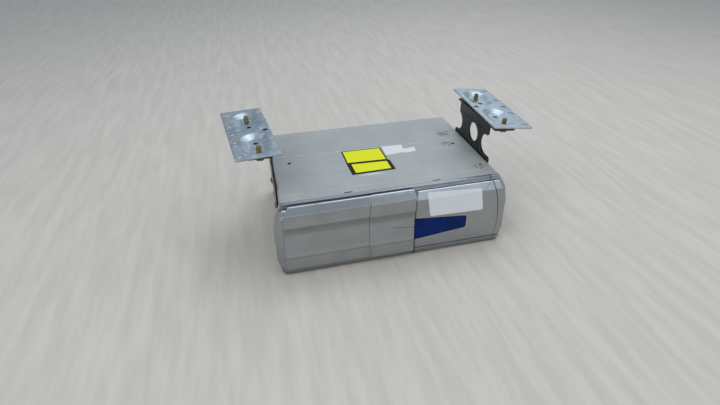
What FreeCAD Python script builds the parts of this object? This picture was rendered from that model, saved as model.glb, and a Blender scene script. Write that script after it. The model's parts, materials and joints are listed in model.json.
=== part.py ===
"""A ten-disc car CD changer, lying on its flat lid with its mounting brackets standing up.

Millimetres. X runs along the front, Y from the front to the back, Z up. The origin is the
middle of the face that the casing rests on. Each function returns the shape of one piece.
"""
import FreeCAD, Part
import math
import os

V = FreeCAD.Vector

# Casing of folded steel sheet
left_space = 4.0
right_space = 19.6
rear_space = 40.0
top_space = 13.5
sheet = 1.0
bend_radius = 2.0
lid_flange_height = 9.0
screw_hole_radius = 1.6
screw_reach = 2.1
case_screw_inset = 16.0
top_hole_radius = 2.5
top_hole_x = 110.0
crease_depth = 0.4
crease_from_front = 13.0
edge_bevel = 0.8
stud_inset = 36.0
low_stud_height = 17.0
high_stud_drop = 14.0

# Front bezel
bezel_depth = 15.0
bezel_wall = 2.2
bezel_flare = 10.0
bezel_shoulder = 6.5
bezel_foot_flare = 5.5
bezel_lean = 4.3
flare_top = 58.0
flare_bottom = 20.0
bezel_strip_drop = 0.5
bezel_step = 3.5
bezel_step_back = 4.5
bezel_shelf = 6.0
bezel_chamfer_height = 10.0
bezel_chamfer_depth = 4.0
bezel_floor = 0.6
bezel_corner = 6.0
hook_x = 53.0
hook_width = 9.0
cap_seam_top_x = 116.0
cap_seam_middle_x = 130.0
cap_seam_bottom_x = 126.0
seam_gap = 0.4

# Sliding door and its grooves
door_clearance = 0.4
door_skin = 3.0
door_left_overhang = 2.0
door_left_lean = 3.5
door_right_x = 22.0
door_right_bow = 2.1
door_bottom = 8.0
door_rise = 3.0
door_corner_cut = 7.0
door_band_top = 66.5
door_band_bottom = 60.5
door_band_recess = 1.3
door_crease_height = 25.5
door_crease_recess = 0.3
door_foot_recess = 1.0
door_foot_bevel = 2.0
grip_width = 52.0
grip_raise = 1.4
grip_bow = 4.0
door_travel = 129.0
seal_width = 1.1
rail_width = 1.6
rail_depth = 3.0
lower_rail_height = 9.2
groove_play = 1.0

# Blue number panel in the front
panel_length = 71.0
panel_under_door = 4.5
panel_tall = 30.5
panel_short = 17.0
panel_corner = 3.0
panel_middle_height = 37.0
panel_thickness = 0.8

# Side brackets and mounting plates
bracket_sheet = 2.0
bracket_centre_y = -9.0
bracket_top_length = 82.0
bracket_foot_length = 98.0
bracket_foot_bottom = 40.0
bracket_foot_corner = 4.0
bracket_height = 135.5
notch_radius = 13.0
notch_from_top = 28.0
notch_spacing = 81.0
notch_shift = 3.2
web_corner = 3.5
bracket_hole_radius = 12.2
bracket_hole_from_top = 26.0
small_hole_radius = 2.2
small_hole_spacing = 49.5
small_hole_drop = 14.2
flange_width = 29.0
flange_length = 104.0
flange_centre_y = -12.0
plate_length = 134.0
plate_width = 49.6
plate_sheet = 1.5
plate_corner = 2.0
plate_inner_x = 128.4
plate_centre_y = -4.0
dimple_depth = 4.0
dimple_length = 54.0
dimple_width = 33.0
dimple_slope = 8.0
dimple_offset = 32.0
plate_hole_radius = 3.2
hole_row_from_edge = 6.0
hole_row_end = 9.5
bolt_radius = 3.0
bolt_head = 5.0
bolt_flange_radius = 6.5
bolt_stick_out = 7.8
bolt_chamfer = 0.8
bolt_clearance = 0.3
front_bolt_v = -48.0
front_spare_v = -25.0
back_spare_v = 21.0
back_bolt_v = 37.0
left_plate_turn = 6.6
right_plate_turn = -2.8
right_plate_tilt = 5.3
bracket_screw_height = 56.0
bracket_screw_spacing = 60.0

# Magazine and its trays
magazine_front_gap = 2.5
magazine_floor = 12.0
magazine_headroom = 4.0
magazine_wall = 1.6
magazine_face = 4.5
tray_count = 10
tray_pitch = 6.0
tray_sheet = 2.2
first_tray_rise = 3.0
disc_radius = 60.0
disc_side_margin = 0.7
disc_end_margin = 3.8
tray_overhang = 1.0
disc_recess = 1.2
tray_slot_radius = 24.0
rib_depth = 1.6
rib_sheet = 1.2
slide_gap = 0.2
tray_travel = 112.0
mouth_margin = 0.6
bay_sheet = 1.2
bay_gap = 0.4
eject_travel = 11.0

# Eject lever and button
lever_sheet = 1.8
lever_width = 6.0
lever_long_arm = 34.0
lever_short_arm = 14.0
lever_pivot_radius = 1.5
button_width = 12.0
button_height = 3.6
button_bottom = 11.0
button_rod = 2.0

# Playing deck and its lift
chassis_bottom = 5.0
chassis_sheet = 1.5
deck_height = 24.0
deck_sheet = 1.5
post_radius = 2.0
screw_radius = 2.6
boss_radius = 5.0
running_gap = 0.08
button_gap = 0.25
gear_module = 0.75
screw_gear_teeth = 24
motor_gear_teeth = 12
gear_thickness = 4.0
lift_motor_radius = 7.8
lift_motor_length = 24.0
spindle_motor_radius = 13.0
spindle_motor_height = 8.0
turntable_radius = 14.0
spindle_radius = 1.2
centring_cone_radius = 7.3
centring_cone_height = 1.4
rod_radius = 1.5
rod_spacing = 36.0
damper_from_screw = 22.0
damper_from_post = 14.0
pickup_length = 16.0
pickup_travel = 34.0
lens_start = 22.0
sled_motor_radius = 4.0
sled_motor_length = 15.0
clamp_arm_width = 14.0
clamp_arm_sheet = 2.0
puck_radius = 11.0
hinge_radius = 1.5

# Circuit board and socket
board_sheet = 1.6
board_inset = 31.0
board_top_drop = 9.0
capacitor_count = 4
capacitor_radius = 3.5
capacitor_pitch = 11.0
socket_radius = 9.0
socket_x = 85.0
socket_height = 30.0

# Places that follow from the sizes above
magazine_width = (2 * (disc_radius + disc_side_margin + magazine_wall) + 2 * slide_gap
                  - tray_overhang)
magazine_length = (magazine_face + magazine_wall + 4 * slide_gap
                   + 2 * (disc_radius + disc_end_margin))
magazine_height = tray_count * tray_pitch + magazine_headroom
disc_from_left = magazine_wall + 2 * slide_gap + disc_radius + disc_side_margin
spindle_to_sled = spindle_motor_radius + 0.7
case_width = (left_space + disc_from_left + tray_travel + spindle_to_sled + pickup_length
              + pickup_travel + right_space)
case_depth = magazine_length - magazine_front_gap + rear_space
case_height = magazine_floor + magazine_height + top_space
first_tray_height = magazine_floor + first_tray_rise
side_x = case_width / 2
back_y = case_depth / 2
front_y = -case_depth / 2
bezel_y = front_y - bezel_depth
bezel_top = case_height - bezel_step
bezel_side = side_x + bezel_flare
shelf_front_y = front_y - bezel_step_back - 0.5 - bezel_shelf
chamfer_foot = bezel_top - bezel_chamfer_height
lip_back_y = shelf_front_y + 1.5
door_left_x = -side_x - door_left_overhang
groove_left_x = -side_x + 0.5
door_top = bezel_top + door_rise
door_face_y = bezel_y - door_clearance - door_skin
bezel_foot_y = bezel_y - bezel_lean
notch_height = bracket_height - notch_from_top
bracket_foot_top = notch_height - notch_radius
bracket_hole_height = bracket_height - bracket_hole_from_top
small_hole_height = bracket_hole_height - small_hole_drop
grip_left_x = door_right_x - grip_width
magazine_x = -side_x + left_space
magazine_right = magazine_x + magazine_width
magazine_y = front_y - magazine_front_gap
magazine_back = magazine_y + magazine_length
magazine_top = magazine_floor + magazine_height
tray_front_y = magazine_y + magazine_face + 2 * slide_gap
tray_back_y = magazine_back - magazine_wall - 2 * slide_gap
tray_left_x = magazine_x + magazine_wall + 2 * slide_gap
tray_right_x = magazine_right - magazine_wall + tray_overhang
disc_x = magazine_x + disc_from_left
disc_y = (tray_front_y + tray_back_y) / 2
play_x = disc_x + tray_travel
bay_floor = magazine_floor - bay_gap - bay_sheet
pivot_x = magazine_right - 2.0
pivot_y = front_y + 8.0
lever_bottom = magazine_floor - 4.0
chassis_top = chassis_bottom + chassis_sheet
deck_top = deck_height + deck_sheet
screw_x = magazine_right + 11.0
screw_y = tray_back_y + 16.0
post_x = side_x - 12.0
front_post_y = front_y + 14.0
gear_distance = gear_module * (screw_gear_teeth + motor_gear_teeth) / 2
motor_x = screw_x + gear_distance
gear_bottom = chassis_top + 0.7
rod_height = deck_top + sled_motor_radius
sled_left_x = play_x + spindle_to_sled
sled_right_x = sled_left_x + pickup_length + pickup_travel
sled_screw_y = disc_y + rod_spacing / 2 + 8.3
arm_bottom = lever_bottom + 1.5
hinge_y = tray_back_y + 8.0
hinge_height = arm_bottom + clamp_arm_sheet / 2
board_y = back_y - 7.5


def box(x0, x1, y0, y1, z0, z1):
    """A block between two corners."""
    return Part.makeBox(x1 - x0, y1 - y0, z1 - z0, V(x0, y0, z0))


def rod(radius, start, end):
    """A round bar from one point to another."""
    along = V(*end) - V(*start)
    return Part.makeCylinder(radius, along.Length, V(*start), along)


def prism(points, move):
    """The closed outline through points, swept along a vector."""
    corners = [V(*p) for p in points]
    return Part.Face(Part.makePolygon(corners + corners[:1])).extrude(V(*move))


def across(points, x0, x1):
    """A (y, z) outline swept along X."""
    return prism([(x0, y, z) for y, z in points], (x1 - x0, 0, 0))


def through(points, y0, y1):
    """An (x, z) outline swept along Y."""
    return prism([(x, y0, z) for x, z in points], (0, y1 - y0, 0))


def round_edges(shape, radius, wanted):
    """Fillet the edges whose middle point passes a test."""
    edges = [e for e in shape.Edges if wanted(e.CenterOfMass, e)]
    return shape.makeFillet(radius, edges) if edges else shape


def runs_along(edge, axis):
    """True for a straight edge parallel to an axis, given as 0, 1 or 2."""
    if len(edge.Vertexes) != 2:
        return False
    span = edge.Vertexes[1].Point - edge.Vertexes[0].Point
    return abs(abs(span[axis]) - span.Length) < 1e-6


def mirrored(shape):
    """The same shape on the other side of the casing."""
    return shape.mirror(V(0, 0, 0), V(1, 0, 0))


def slot_hole(x0, x1, y, radius, z0, z1):
    """An upright slot with round ends along X."""
    ends = [rod(radius, (x, y, z0), (x, y, z1)) for x in (x0, x1)]
    return ends[0].fuse([ends[1], box(x0, x1, y - radius, y + radius, z0, z1)])


# Casing

def channel(half_width, top, bottom, radius):
    """A block along the casing with its two upper edges rounded, as a folded sheet has."""
    block = box(-half_width, half_width, front_y, back_y, bottom, top)
    return round_edges(block, radius, lambda c, e: runs_along(e, 1) and c.z > top - 1e-6)


def case_screw_places():
    """Where the lid is screwed to each side of the casing: (y, z)."""
    ends = back_y - case_screw_inset
    return [(y, sheet + lid_flange_height / 2) for y in (-ends, 0.0, ends)]


def bracket_screw_places():
    """Where each bracket is screwed to the side of the casing: (y, z)."""
    half = bracket_screw_spacing / 2
    return [(bracket_centre_y + s * half, bracket_screw_height) for s in (-1, 1)]


def side_holes(places, radius):
    """Cross bores through both sides of the casing."""
    return [rod(radius, (-side_x - 5, y, z), (side_x + 5, y, z)) for y, z in places]


def base_shell():
    """The top and the two sides, folded from one sheet."""
    shell = channel(side_x, case_height, sheet, bend_radius)
    inside = channel(side_x - sheet, case_height - sheet, sheet, bend_radius - sheet)
    shell = shell.cut(inside)
    cuts = side_holes(case_screw_places() + bracket_screw_places(), screw_hole_radius)
    for x in (-top_hole_x, top_hole_x):
        cuts.append(rod(top_hole_radius, (x, 0, case_height - 5), (x, 0, case_height + 5)))
    for x in (-hook_x, hook_x):
        cuts.append(box(x - hook_width / 2 - 0.5, x + hook_width / 2 + 0.5,
                        front_y + 1, front_y + 3.4, case_height - 5, case_height + 5))
    crease_y = front_y + crease_from_front
    crease = [(crease_y - 1.2, case_height), (crease_y, case_height - crease_depth),
              (crease_y + 0.3, case_height)]
    cuts.append(across(crease, -side_x + 12, side_x - 12))
    bevel = [(front_y, case_height - edge_bevel), (front_y, case_height + 1),
             (front_y + edge_bevel + 1, case_height + 1)]
    cuts.append(across(bevel, -side_x, side_x))
    return shell.cut(cuts)


def lid_plate():
    """The flat lid that the casing lies on, with a flange up each side."""
    inner = side_x - sheet
    lid = box(-side_x, side_x, front_y, back_y, 0, sheet)
    for s in (-1, 1):
        x0, x1 = sorted((s * inner, s * (inner - sheet)))
        lid = lid.fuse(box(x0, x1, front_y + 4, back_y - 4, sheet, sheet + lid_flange_height))
    return lid.cut(side_holes(case_screw_places(), screw_hole_radius)).removeSplitter()


def casing_screws():
    """Pan-head screws through the sides into the flanges of the lid."""
    screws = []
    for y, z in case_screw_places():
        shank = rod(screw_hole_radius, (side_x - screw_reach, y, z), (side_x, y, z))
        screws.append(shank.fuse(pan_head(side_x, y, z, 3.0, 1.6)))
    screws += [mirrored(s) for s in screws]
    return Part.makeCompound(screws)


def pan_head(x, y, z, radius, height):
    """A screw head on a face that looks along +X, bevelled toward its top."""
    return Part.makeCone(radius, radius * 0.7, height, V(x, y, z), V(1, 0, 0))


def rear_panel():
    """The back wall, with the studs that carry the circuit board."""
    inner = side_x - sheet
    panel_front = back_y - 2 * sheet
    panel = box(-inner, inner, panel_front, panel_front + sheet, sheet, case_height - sheet)
    # the sheet's own bend rounds the casing's upper corners
    panel = panel.common(channel(inner, case_height - sheet, sheet, bend_radius - sheet))
    for x, z in board_stud_places():
        stud_end = board_y + board_sheet
        panel = panel.fuse(rod(2.5, (x, stud_end, z), (x, panel_front, z)))
    hole = rod(socket_radius + running_gap, (socket_x, board_y, socket_height),
               (socket_x, back_y + 5, socket_height))
    return panel.cut(hole)


# Front bezel

def lean_at(z):
    """How far the front leans out at a height, from nothing at the foot of the chamfer."""
    return bezel_lean * max(0.0, chamfer_foot - z) / chamfer_foot


def half_width(z):
    """Half the bezel's width at a height: its ends swell out below the casing's corners."""
    ends = [(bezel_floor, bezel_foot_flare), (flare_bottom, bezel_flare), (flare_top, bezel_flare),
            (chamfer_foot, bezel_shoulder), (case_height, 0.0)]
    for (z0, flare0), (z1, flare1) in zip(ends, ends[1:]):
        if z <= z1:
            break
    return side_x + flare0 + (flare1 - flare0) * (z - z0) / (z1 - z0)


def bezel_plan(z, y, inset):
    """The bezel's outline seen from above at one height: its two front corners are round."""
    half, radius = half_width(z) - inset, bezel_corner - inset
    cut = radius * (1 - math.sqrt(0.5))
    edges = [Part.makeLine(V(-half, front_y, z), V(-half, y + radius, z)),
             Part.Arc(V(-half, y + radius, z), V(-half + cut, y + cut, z),
                      V(-half + radius, y, z)).toShape(),
             Part.makeLine(V(-half + radius, y, z), V(half - radius, y, z)),
             Part.Arc(V(half - radius, y, z), V(half - cut, y + cut, z),
                      V(half, y + radius, z)).toShape(),
             Part.makeLine(V(half, y + radius, z), V(half, front_y, z)),
             Part.makeLine(V(half, front_y, z), V(-half, front_y, z))]
    return Part.Wire(edges)


def bezel_outline(inset):
    """The bezel's outer form, drawn in by an inset: a leaning front, a chamfer and a top strip."""
    z0, shelf = bezel_floor + inset, bezel_top - inset
    face = bezel_y + inset
    foot = face - lean_at(z0 + 3)
    levels = [(z0, foot + 2), (z0 + 3, foot)]
    levels += [(z, face - lean_at(z)) for z in (flare_bottom, flare_top, chamfer_foot)]
    levels.append((shelf, face + bezel_chamfer_depth))
    form = Part.makeLoft([bezel_plan(z, y, inset) for z, y in levels], True, True)
    top = case_height - bezel_strip_drop - inset
    step_y = front_y - bezel_step_back + inset
    strip = across([(front_y, shelf - 1), (step_y - 0.5, shelf - 1), (step_y - 0.5, shelf),
                    (step_y, top), (front_y, top)], -bezel_side, bezel_side)
    low, high = half_width(shelf - 1) - inset, half_width(top) - inset
    strip = strip.common(through([(-low, shelf - 1), (low, shelf - 1), (high, top), (-high, top)],
                                 bezel_y, front_y))
    return form.fuse(strip)


def right_of(bottom_x, middle_x, middle_z, top_x):
    """Everything to the right of a bowed upright line."""
    y0, far, high = bezel_foot_y - 20, 2 * side_x, case_height + 5
    top, bottom = V(top_x, y0, high), V(bottom_x, y0, -2)
    bow = Part.Arc(bottom, V(middle_x, y0, middle_z), top).toShape()
    rest = Part.makePolygon([top, V(far, y0, high), V(far, y0, -2), bottom])
    return Part.Face(Part.Wire([bow] + rest.Edges)).extrude(V(0, bezel_depth + 40, 0))


def cap_cutter(shift):
    """Everything to the right of the seam of the end cap."""
    return right_of(cap_seam_bottom_x + shift, cap_seam_middle_x + shift, chamfer_foot / 2,
                    cap_seam_top_x + shift)


def panel_plate():
    """The number panel's tapered plate, in the skin of the bezel's face."""
    x0 = door_right_x - panel_under_door
    x1, zc = x0 + panel_length, panel_middle_height
    tall, short = panel_tall / 2, panel_short / 2
    plate = through([(x0, zc - tall), (x1, zc - short), (x1, zc + short), (x0, zc + tall)],
                    bezel_foot_y - 5, bezel_y + 5)
    plate = round_edges(plate, panel_corner, lambda c, e: runs_along(e, 1) and c.x > x1 - 1)
    return plate.common(bezel_outline(0).cut(bezel_outline(panel_thickness)))


def number_panel():
    return panel_plate()


def upper_rail_y():
    """The middle of the door's upper tongue, in the shelf behind the chamfer."""
    return shelf_front_y + rail_width + 0.1


def button_place():
    """The left edge of the eject button: its rod meets the short arm of the lever."""
    return pivot_x + lever_short_arm - button_width / 2


def whole_bezel():
    """The bezel and its end cap as one moulding, before the seam parts them."""
    shell = bezel_outline(0).cut(bezel_outline(bezel_wall))
    inside = bezel_outline(0)
    upper_y = upper_rail_y()
    guide = box(-bezel_side, bezel_side, upper_y - 2.8, upper_y + 3.8,
                bezel_top - rail_depth - 2.2, bezel_top)
    lower_y = bezel_y - lean_at(lower_rail_height)
    lower = box(-bezel_side, bezel_side, bezel_foot_y, lower_y + rail_depth + 2.2, bezel_floor,
                lower_rail_height + 1.4)
    # the swollen ends are closed behind, where they stand out past the casing
    backs = [box(x, x + bezel_flare + bezel_wall, front_y - bezel_wall, front_y, 0, case_height)
             for x in (-bezel_side, side_x - bezel_wall)]
    shell = shell.fuse([part.common(inside) for part in [guide, lower] + backs])
    half = rail_width / 2
    start, end = groove_left_x, bezel_side + 5
    cuts = [
        box(start, end, upper_y - half, upper_y + half + groove_play, bezel_top - rail_depth,
            bezel_top + 1),
        box(start, end, bezel_foot_y - 1, lower_y + rail_depth, lower_rail_height - half,
            lower_rail_height + half),
        box(magazine_x - mouth_margin, magazine_right + mouth_margin, bezel_foot_y - 1, front_y + 1,
            magazine_floor - mouth_margin, magazine_top + mouth_margin),
        panel_plate(),
    ]
    left, gap = button_place(), button_gap
    cuts.append(box(left - gap, left + button_width + gap, bezel_foot_y - 1, bezel_y + 8,
                    button_bottom - gap, button_bottom + button_height + gap))
    return shell.cut(cuts)


def front_bezel():
    """The moulded front with the magazine's mouth, the door's two grooves and its hooks."""
    bezel = whole_bezel().cut(cap_cutter(-seam_gap))
    under = case_height - sheet
    for x in (-hook_x, hook_x):
        half = hook_width / 2
        tongue = box(x - half, x + half, front_y - 2, front_y + 6, under - 1.6, under)
        nose = box(x - half, x + half, front_y + 1.8, front_y + 3.2, under, case_height)
        bezel = bezel.fuse([tongue, nose])
    return bezel.removeSplitter()


def end_cap():
    """The separate right end of the bezel, behind a bowed seam."""
    return whole_bezel().common(cap_cutter(0))


# Sliding door

def door_section(raised):
    """The door's cross section: a skin bent over the bezel's face and chamfer."""
    face = door_face_y - raised
    top = door_top + raised * 0.3
    outer = [(lip_back_y, top), (shelf_front_y - 0.3, top), (face, top - door_corner_cut)]
    for z, back in ((chamfer_foot, 0), (door_band_top, 0), (door_band_bottom, door_band_recess),
                    (door_crease_height + 0.3, door_crease_recess),
                    (door_crease_height - 0.3, door_foot_recess),
                    (door_bottom + door_foot_bevel, door_foot_recess),
                    (door_bottom, door_foot_recess + door_band_recess)):
        outer.append((face + back - lean_at(z), z))
    inner_face = bezel_y - door_clearance
    inner_top = bezel_top + door_clearance
    inner = [(inner_face - lean_at(door_bottom), door_bottom), (inner_face, chamfer_foot + 0.1),
             (shelf_front_y - 0.3, inner_top), (lip_back_y, inner_top)]
    return outer + inner


def door_front_view():
    """The door's outline from the front, with its cut upper left corner."""
    x0, x1, top = door_left_x, door_right_x, door_top + 5
    cut_x = x0 + door_left_lean
    return [(x0 + 5, door_bottom), (x1, door_bottom), (x1, top),
            (cut_x + door_corner_cut + 5, top), (cut_x, door_top - door_corner_cut),
            (x0, door_bottom + 5)]


def grip_cutter():
    """Everything to the right of the bowed left edge of the grip."""
    return right_of(grip_left_x, grip_left_x - grip_bow, door_top / 2, grip_left_x + 1.0)


def door_end_cutter(shift):
    """Everything to the right of the door's bowed right edge."""
    x = door_right_x + shift
    return right_of(x - 1.0, x - door_right_bow, door_top / 2, x)


def door_rails():
    """The two tongues that run in the bezel's grooves."""
    y, half = upper_rail_y(), rail_width / 2 - door_clearance
    inner_top = bezel_top + door_clearance
    x0, x1 = groove_left_x + 0.7, door_right_x
    upper = [(lip_back_y, inner_top), (lip_back_y, inner_top + 1), (y + half, inner_top + 1),
             (y + half, bezel_top - rail_depth + door_clearance),
             (y - half, bezel_top - rail_depth + door_clearance), (y - half, inner_top)]
    z = lower_rail_height
    lower_y = bezel_y - lean_at(z)
    lower = box(x0, x1, lower_y - door_clearance - 0.5, lower_y + rail_depth - door_clearance,
                z - half, z + half)
    return across(upper, x0, x1).fuse(lower)


def whole_door(raised):
    skin = across(door_section(raised), door_left_x, door_right_x)
    skin = skin.common(through(door_front_view(), bezel_foot_y - 20, front_y))
    return skin.fuse(door_rails()).cut(door_end_cutter(0))


def door_panel():
    """The long plain part of the door."""
    return whole_door(0).cut(grip_cutter()).removeSplitter()


def door_grip():
    """The raised grip at the door's right end."""
    return whole_door(grip_raise).common(grip_cutter()).removeSplitter()


def door_seal():
    """A felt strip down the door's right edge."""
    low = door_bottom + 4
    outline = []
    for z, depth in ((low, 0), (chamfer_foot, 0), (chamfer_foot, 2.2), (low, 1.4)):
        outline.append((bezel_y - door_clearance - depth - lean_at(z), z))
    strip = across(outline, door_right_x - 2 * door_right_bow, door_right_x + 2 * seal_width)
    return strip.common(door_end_cutter(0)).cut(door_end_cutter(seal_width))


# Brackets and mounting plates

def bracket_tilt(side):
    """How far the top flange droops: only the right bracket is bent."""
    return right_plate_tilt if side > 0 else 0.0


def tilt_about_bend(shape, side):
    """Droop a shape about the bend at the top of the right bracket."""
    bend = V(side_x + bracket_sheet, 0, bracket_height)
    shape.rotate(bend, V(0, 1, 0), bracket_tilt(side))
    return shape


def place_plate_point(u, v, side):
    """A plate's (u, v) point, before the droop: u outward from the inner edge, v to the back."""
    turn = math.radians(left_plate_turn if side < 0 else right_plate_turn)
    if side < 0:
        turn = -turn
    x = plate_inner_x + u * math.cos(turn) - v * math.sin(turn)
    y = plate_centre_y + u * math.sin(turn) + v * math.cos(turn)
    return x, y


def bolt_places(side):
    """Where the two bolts of a plate stand, before the droop."""
    u = plate_width / 2 - 3.0
    return [place_plate_point(u, v, side) for v in (front_bolt_v, back_bolt_v)]


def bracket(side):
    """One side bracket: a web on the casing and a flange outward at its top."""
    x0, x1 = side_x, side_x + bracket_sheet
    yc = bracket_centre_y
    foot, top = bracket_foot_length / 2, bracket_top_length / 2
    web = box(x0, x1, yc - foot, yc + foot, bracket_foot_bottom, bracket_foot_top)
    web = web.fuse(box(x0, x1, yc - top, yc + top, bracket_foot_top - 1, bracket_height))
    cuts = []
    for s in (-1, 1):
        y, r = yc + notch_shift + s * notch_spacing / 2, notch_radius
        y0, y1 = sorted((y, y + s * r))
        cuts.append(rod(r, (x0 - 1, y, notch_height), (x1 + 1, y, notch_height)))
        cuts.append(box(x0 - 1, x1 + 1, y0, y1, notch_height - r, notch_height + r))
    cuts.append(rod(bracket_hole_radius, (x0 - 1, yc - 3, bracket_hole_height),
                    (x1 + 1, yc - 3, bracket_hole_height)))
    for s in (-1, 1):
        y = yc + s * small_hole_spacing / 2
        cuts.append(rod(small_hole_radius, (x0 - 1, y, small_hole_height),
                        (x1 + 1, y, small_hole_height)))
    for y, z in bracket_screw_places():
        cuts.append(rod(screw_hole_radius, (x0 - 1, y, z), (x1 + 1, y, z)))
    web = web.cut(cuts)
    corner = min(bracket_foot_corner, 0.8 * (foot - top))
    web = round_edges(web, corner, lambda c, e: runs_along(e, 0)
                      and (c.z < bracket_foot_bottom + 1 or abs(c.z - bracket_foot_top) < 0.1)
                      and abs(abs(c.y - yc) - foot) < 1e-3)
    web = round_edges(web, web_corner, lambda c, e: runs_along(e, 0)
                      and abs(abs(c.y - yc) - top) < 1e-3 and c.z > notch_height)
    half = flange_length / 2
    flange = box(x0, x0 + flange_width, flange_centre_y - half, flange_centre_y + half,
                 bracket_height - bracket_sheet, bracket_height)
    flange = round_edges(flange, 5.0, lambda c, e: runs_along(e, 2) and c.x > x0 + 1)
    for x, y in bolt_places(side):
        flange = flange.cut(rod(bolt_radius, (x, y, bracket_height - 5),
                                (x, y, bracket_height + 5)))
    flange = tilt_about_bend(flange, side)
    flange = flange.cut(box(x0 - 20, x0, -case_depth, case_depth, 0, bracket_height + 20))
    return web.cut(box(x0 - 1, x1 + 1, -case_depth, case_depth, bracket_height - 1.0,
                       bracket_height + 1)).fuse(flange).removeSplitter()


def obround(length, width, z):
    """A closed outline with round ends along the second axis."""
    r, half = width / 2, (length - width) / 2
    arcs = [Part.Arc(V(r, half, z), V(0, half + r, z), V(-r, half, z)).toShape(),
            Part.Arc(V(-r, -half, z), V(0, -half - r, z), V(r, -half, z)).toShape()]
    sides = [Part.makeLine(V(-r, half, z), V(-r, -half, z)),
             Part.makeLine(V(r, -half, z), V(r, half, z))]
    return Part.Wire([arcs[0], sides[0], arcs[1], sides[1]])


def dimple(extra, drop):
    """The pressed hollow of a plate, its sides sloping in to a flat floor."""
    length, width = dimple_length + 2 * extra, dimple_width + 2 * extra
    slope = 2 * dimple_slope
    wires = [obround(length, width, -drop),
             obround(length - slope, width - slope, -drop - dimple_depth)]
    return Part.makeLoft(wires, True)


def plate_hole_row():
    """The v places of the five holes near the plate's outer edge."""
    end = plate_length / 2 - hole_row_end
    return [-end, -end * 0.38, 0.0, end * 0.4, end]


def mounting_plate(side):
    """A zinc-plated plate with two pressed hollows, a row of holes and one inner hole."""
    half = plate_length / 2
    plate = box(0, plate_width, -half, half, -plate_sheet, 0)
    plate = round_edges(plate, plate_corner, lambda c, e: runs_along(e, 2))
    middle = plate_width / 2 - 3.0
    for s in (-1, 1):
        at = V(middle, s * dimple_offset, 0)
        outer, inner = dimple(0, plate_sheet), dimple(-plate_sheet * 0.7, 0)
        cap = dimple(0, 0).common(box(-99, 99, -99, 99, -plate_sheet, 1))
        inner = inner.fuse(Part.makeLoft([obround(dimple_length - 2.1, dimple_width - 2.1, 0),
                                          obround(dimple_length - 2.1, dimple_width - 2.1, 1)],
                                         True))
        for shape in (outer, inner, cap):
            shape.translate(at)
        plate = plate.fuse([outer, cap]).cut(inner)
    holes = [(plate_width - hole_row_from_edge, v, plate_hole_radius) for v in plate_hole_row()]
    holes.append((hole_row_from_edge, 0.0, plate_hole_radius))
    for v in (front_bolt_v, front_spare_v, back_spare_v, back_bolt_v):
        holes.append((middle, v, bolt_radius))
    for u, v, r in holes:
        plate = plate.cut(rod(r, (u, v, -20), (u, v, 20)))
    turn = -left_plate_turn if side < 0 else right_plate_turn
    plate.rotate(V(0, 0, 0), V(0, 0, 1), turn)
    top = bracket_height + dimple_depth + plate_sheet
    plate.translate(V(plate_inner_x, plate_centre_y, top))
    return tilt_about_bend(plate.removeSplitter(), side)


def hexagon(across_flats, z0, z1):
    """An upright hexagonal block on the Z axis."""
    r = across_flats / math.sqrt(3)
    corners = [(r * math.cos(math.radians(60 * k)), r * math.sin(math.radians(60 * k)), z0)
               for k in range(6)]
    return prism(corners, (0, 0, z1 - z0))


def plate_bolts(side):
    """Flange bolts that come up through the bracket's flange and the plate's hollows."""
    floor = bracket_height + plate_sheet
    bolts = []
    for x, y in bolt_places(side):
        seat = bracket_height - bracket_sheet
        tip = floor + bolt_stick_out - bolt_chamfer
        bolt = rod(bolt_radius, (0, 0, seat), (0, 0, tip))
        end = Part.makeCone(bolt_radius, bolt_radius - bolt_chamfer, bolt_chamfer, V(0, 0, tip))
        head = hexagon(2 * bolt_radius + 4, seat - bolt_head, seat - 1)
        collar = rod(bolt_flange_radius, (0, 0, seat - 1.2), (0, 0, seat))
        bolt = bolt.fuse([end, head, collar])
        bolt.translate(V(x, y, 0))
        bolts.append(tilt_about_bend(bolt, side))
    return Part.makeCompound(bolts)


def bracket_screws():
    """Screws that hold a bracket's web to the casing."""
    screws = []
    x = side_x + bracket_sheet
    for y, z in bracket_screw_places():
        shank = rod(screw_hole_radius, (side_x - screw_reach, y, z), (x, y, z))
        screws.append(shank.fuse(pan_head(x, y, z, 4.0, 2.0)))
    return Part.makeCompound(screws)


# Magazine

def tray_height(level):
    return first_tray_height + level * tray_pitch


def magazine_shell():
    """The magazine: open on its right side, with a shelf rib under each end of every tray."""
    x0, x1, y0, y1 = magazine_x, magazine_right, magazine_y, magazine_back
    z0, z1, wall = magazine_floor, magazine_top, magazine_wall
    shell = box(x0, x1, y0, y1, z0, z1)
    inner_y0, inner_y1 = y0 + magazine_face, y1 - wall
    shell = shell.cut(box(x0 + wall, x1 + 1, inner_y0, inner_y1, z0 + wall, z1 - wall))
    shell = round_edges(shell, 1.5, lambda c, e: runs_along(e, 2) and c.x < x0 + 0.1)
    ribs = []
    for level in range(tray_count):
        z = tray_height(level) - slide_gap
        for y in (inner_y0, inner_y1 - rib_depth):
            ribs.append(box(x0 + wall, x1, y, y + rib_depth, z - rib_sheet, z))
    grip = rod(14.0, ((x0 + x1) / 2, y0 - 10.5, z0), ((x0 + x1) / 2, y0 - 10.5, z1))
    lug_x = pivot_x - lever_long_arm
    lug_y = pivot_y - lever_width / 2 - 0.3
    lug = box(lug_x - 6, lug_x + 6, lug_y - 3, lug_y, lever_bottom, z0)
    return shell.fuse(ribs + [lug]).cut(grip).removeSplitter()


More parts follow.
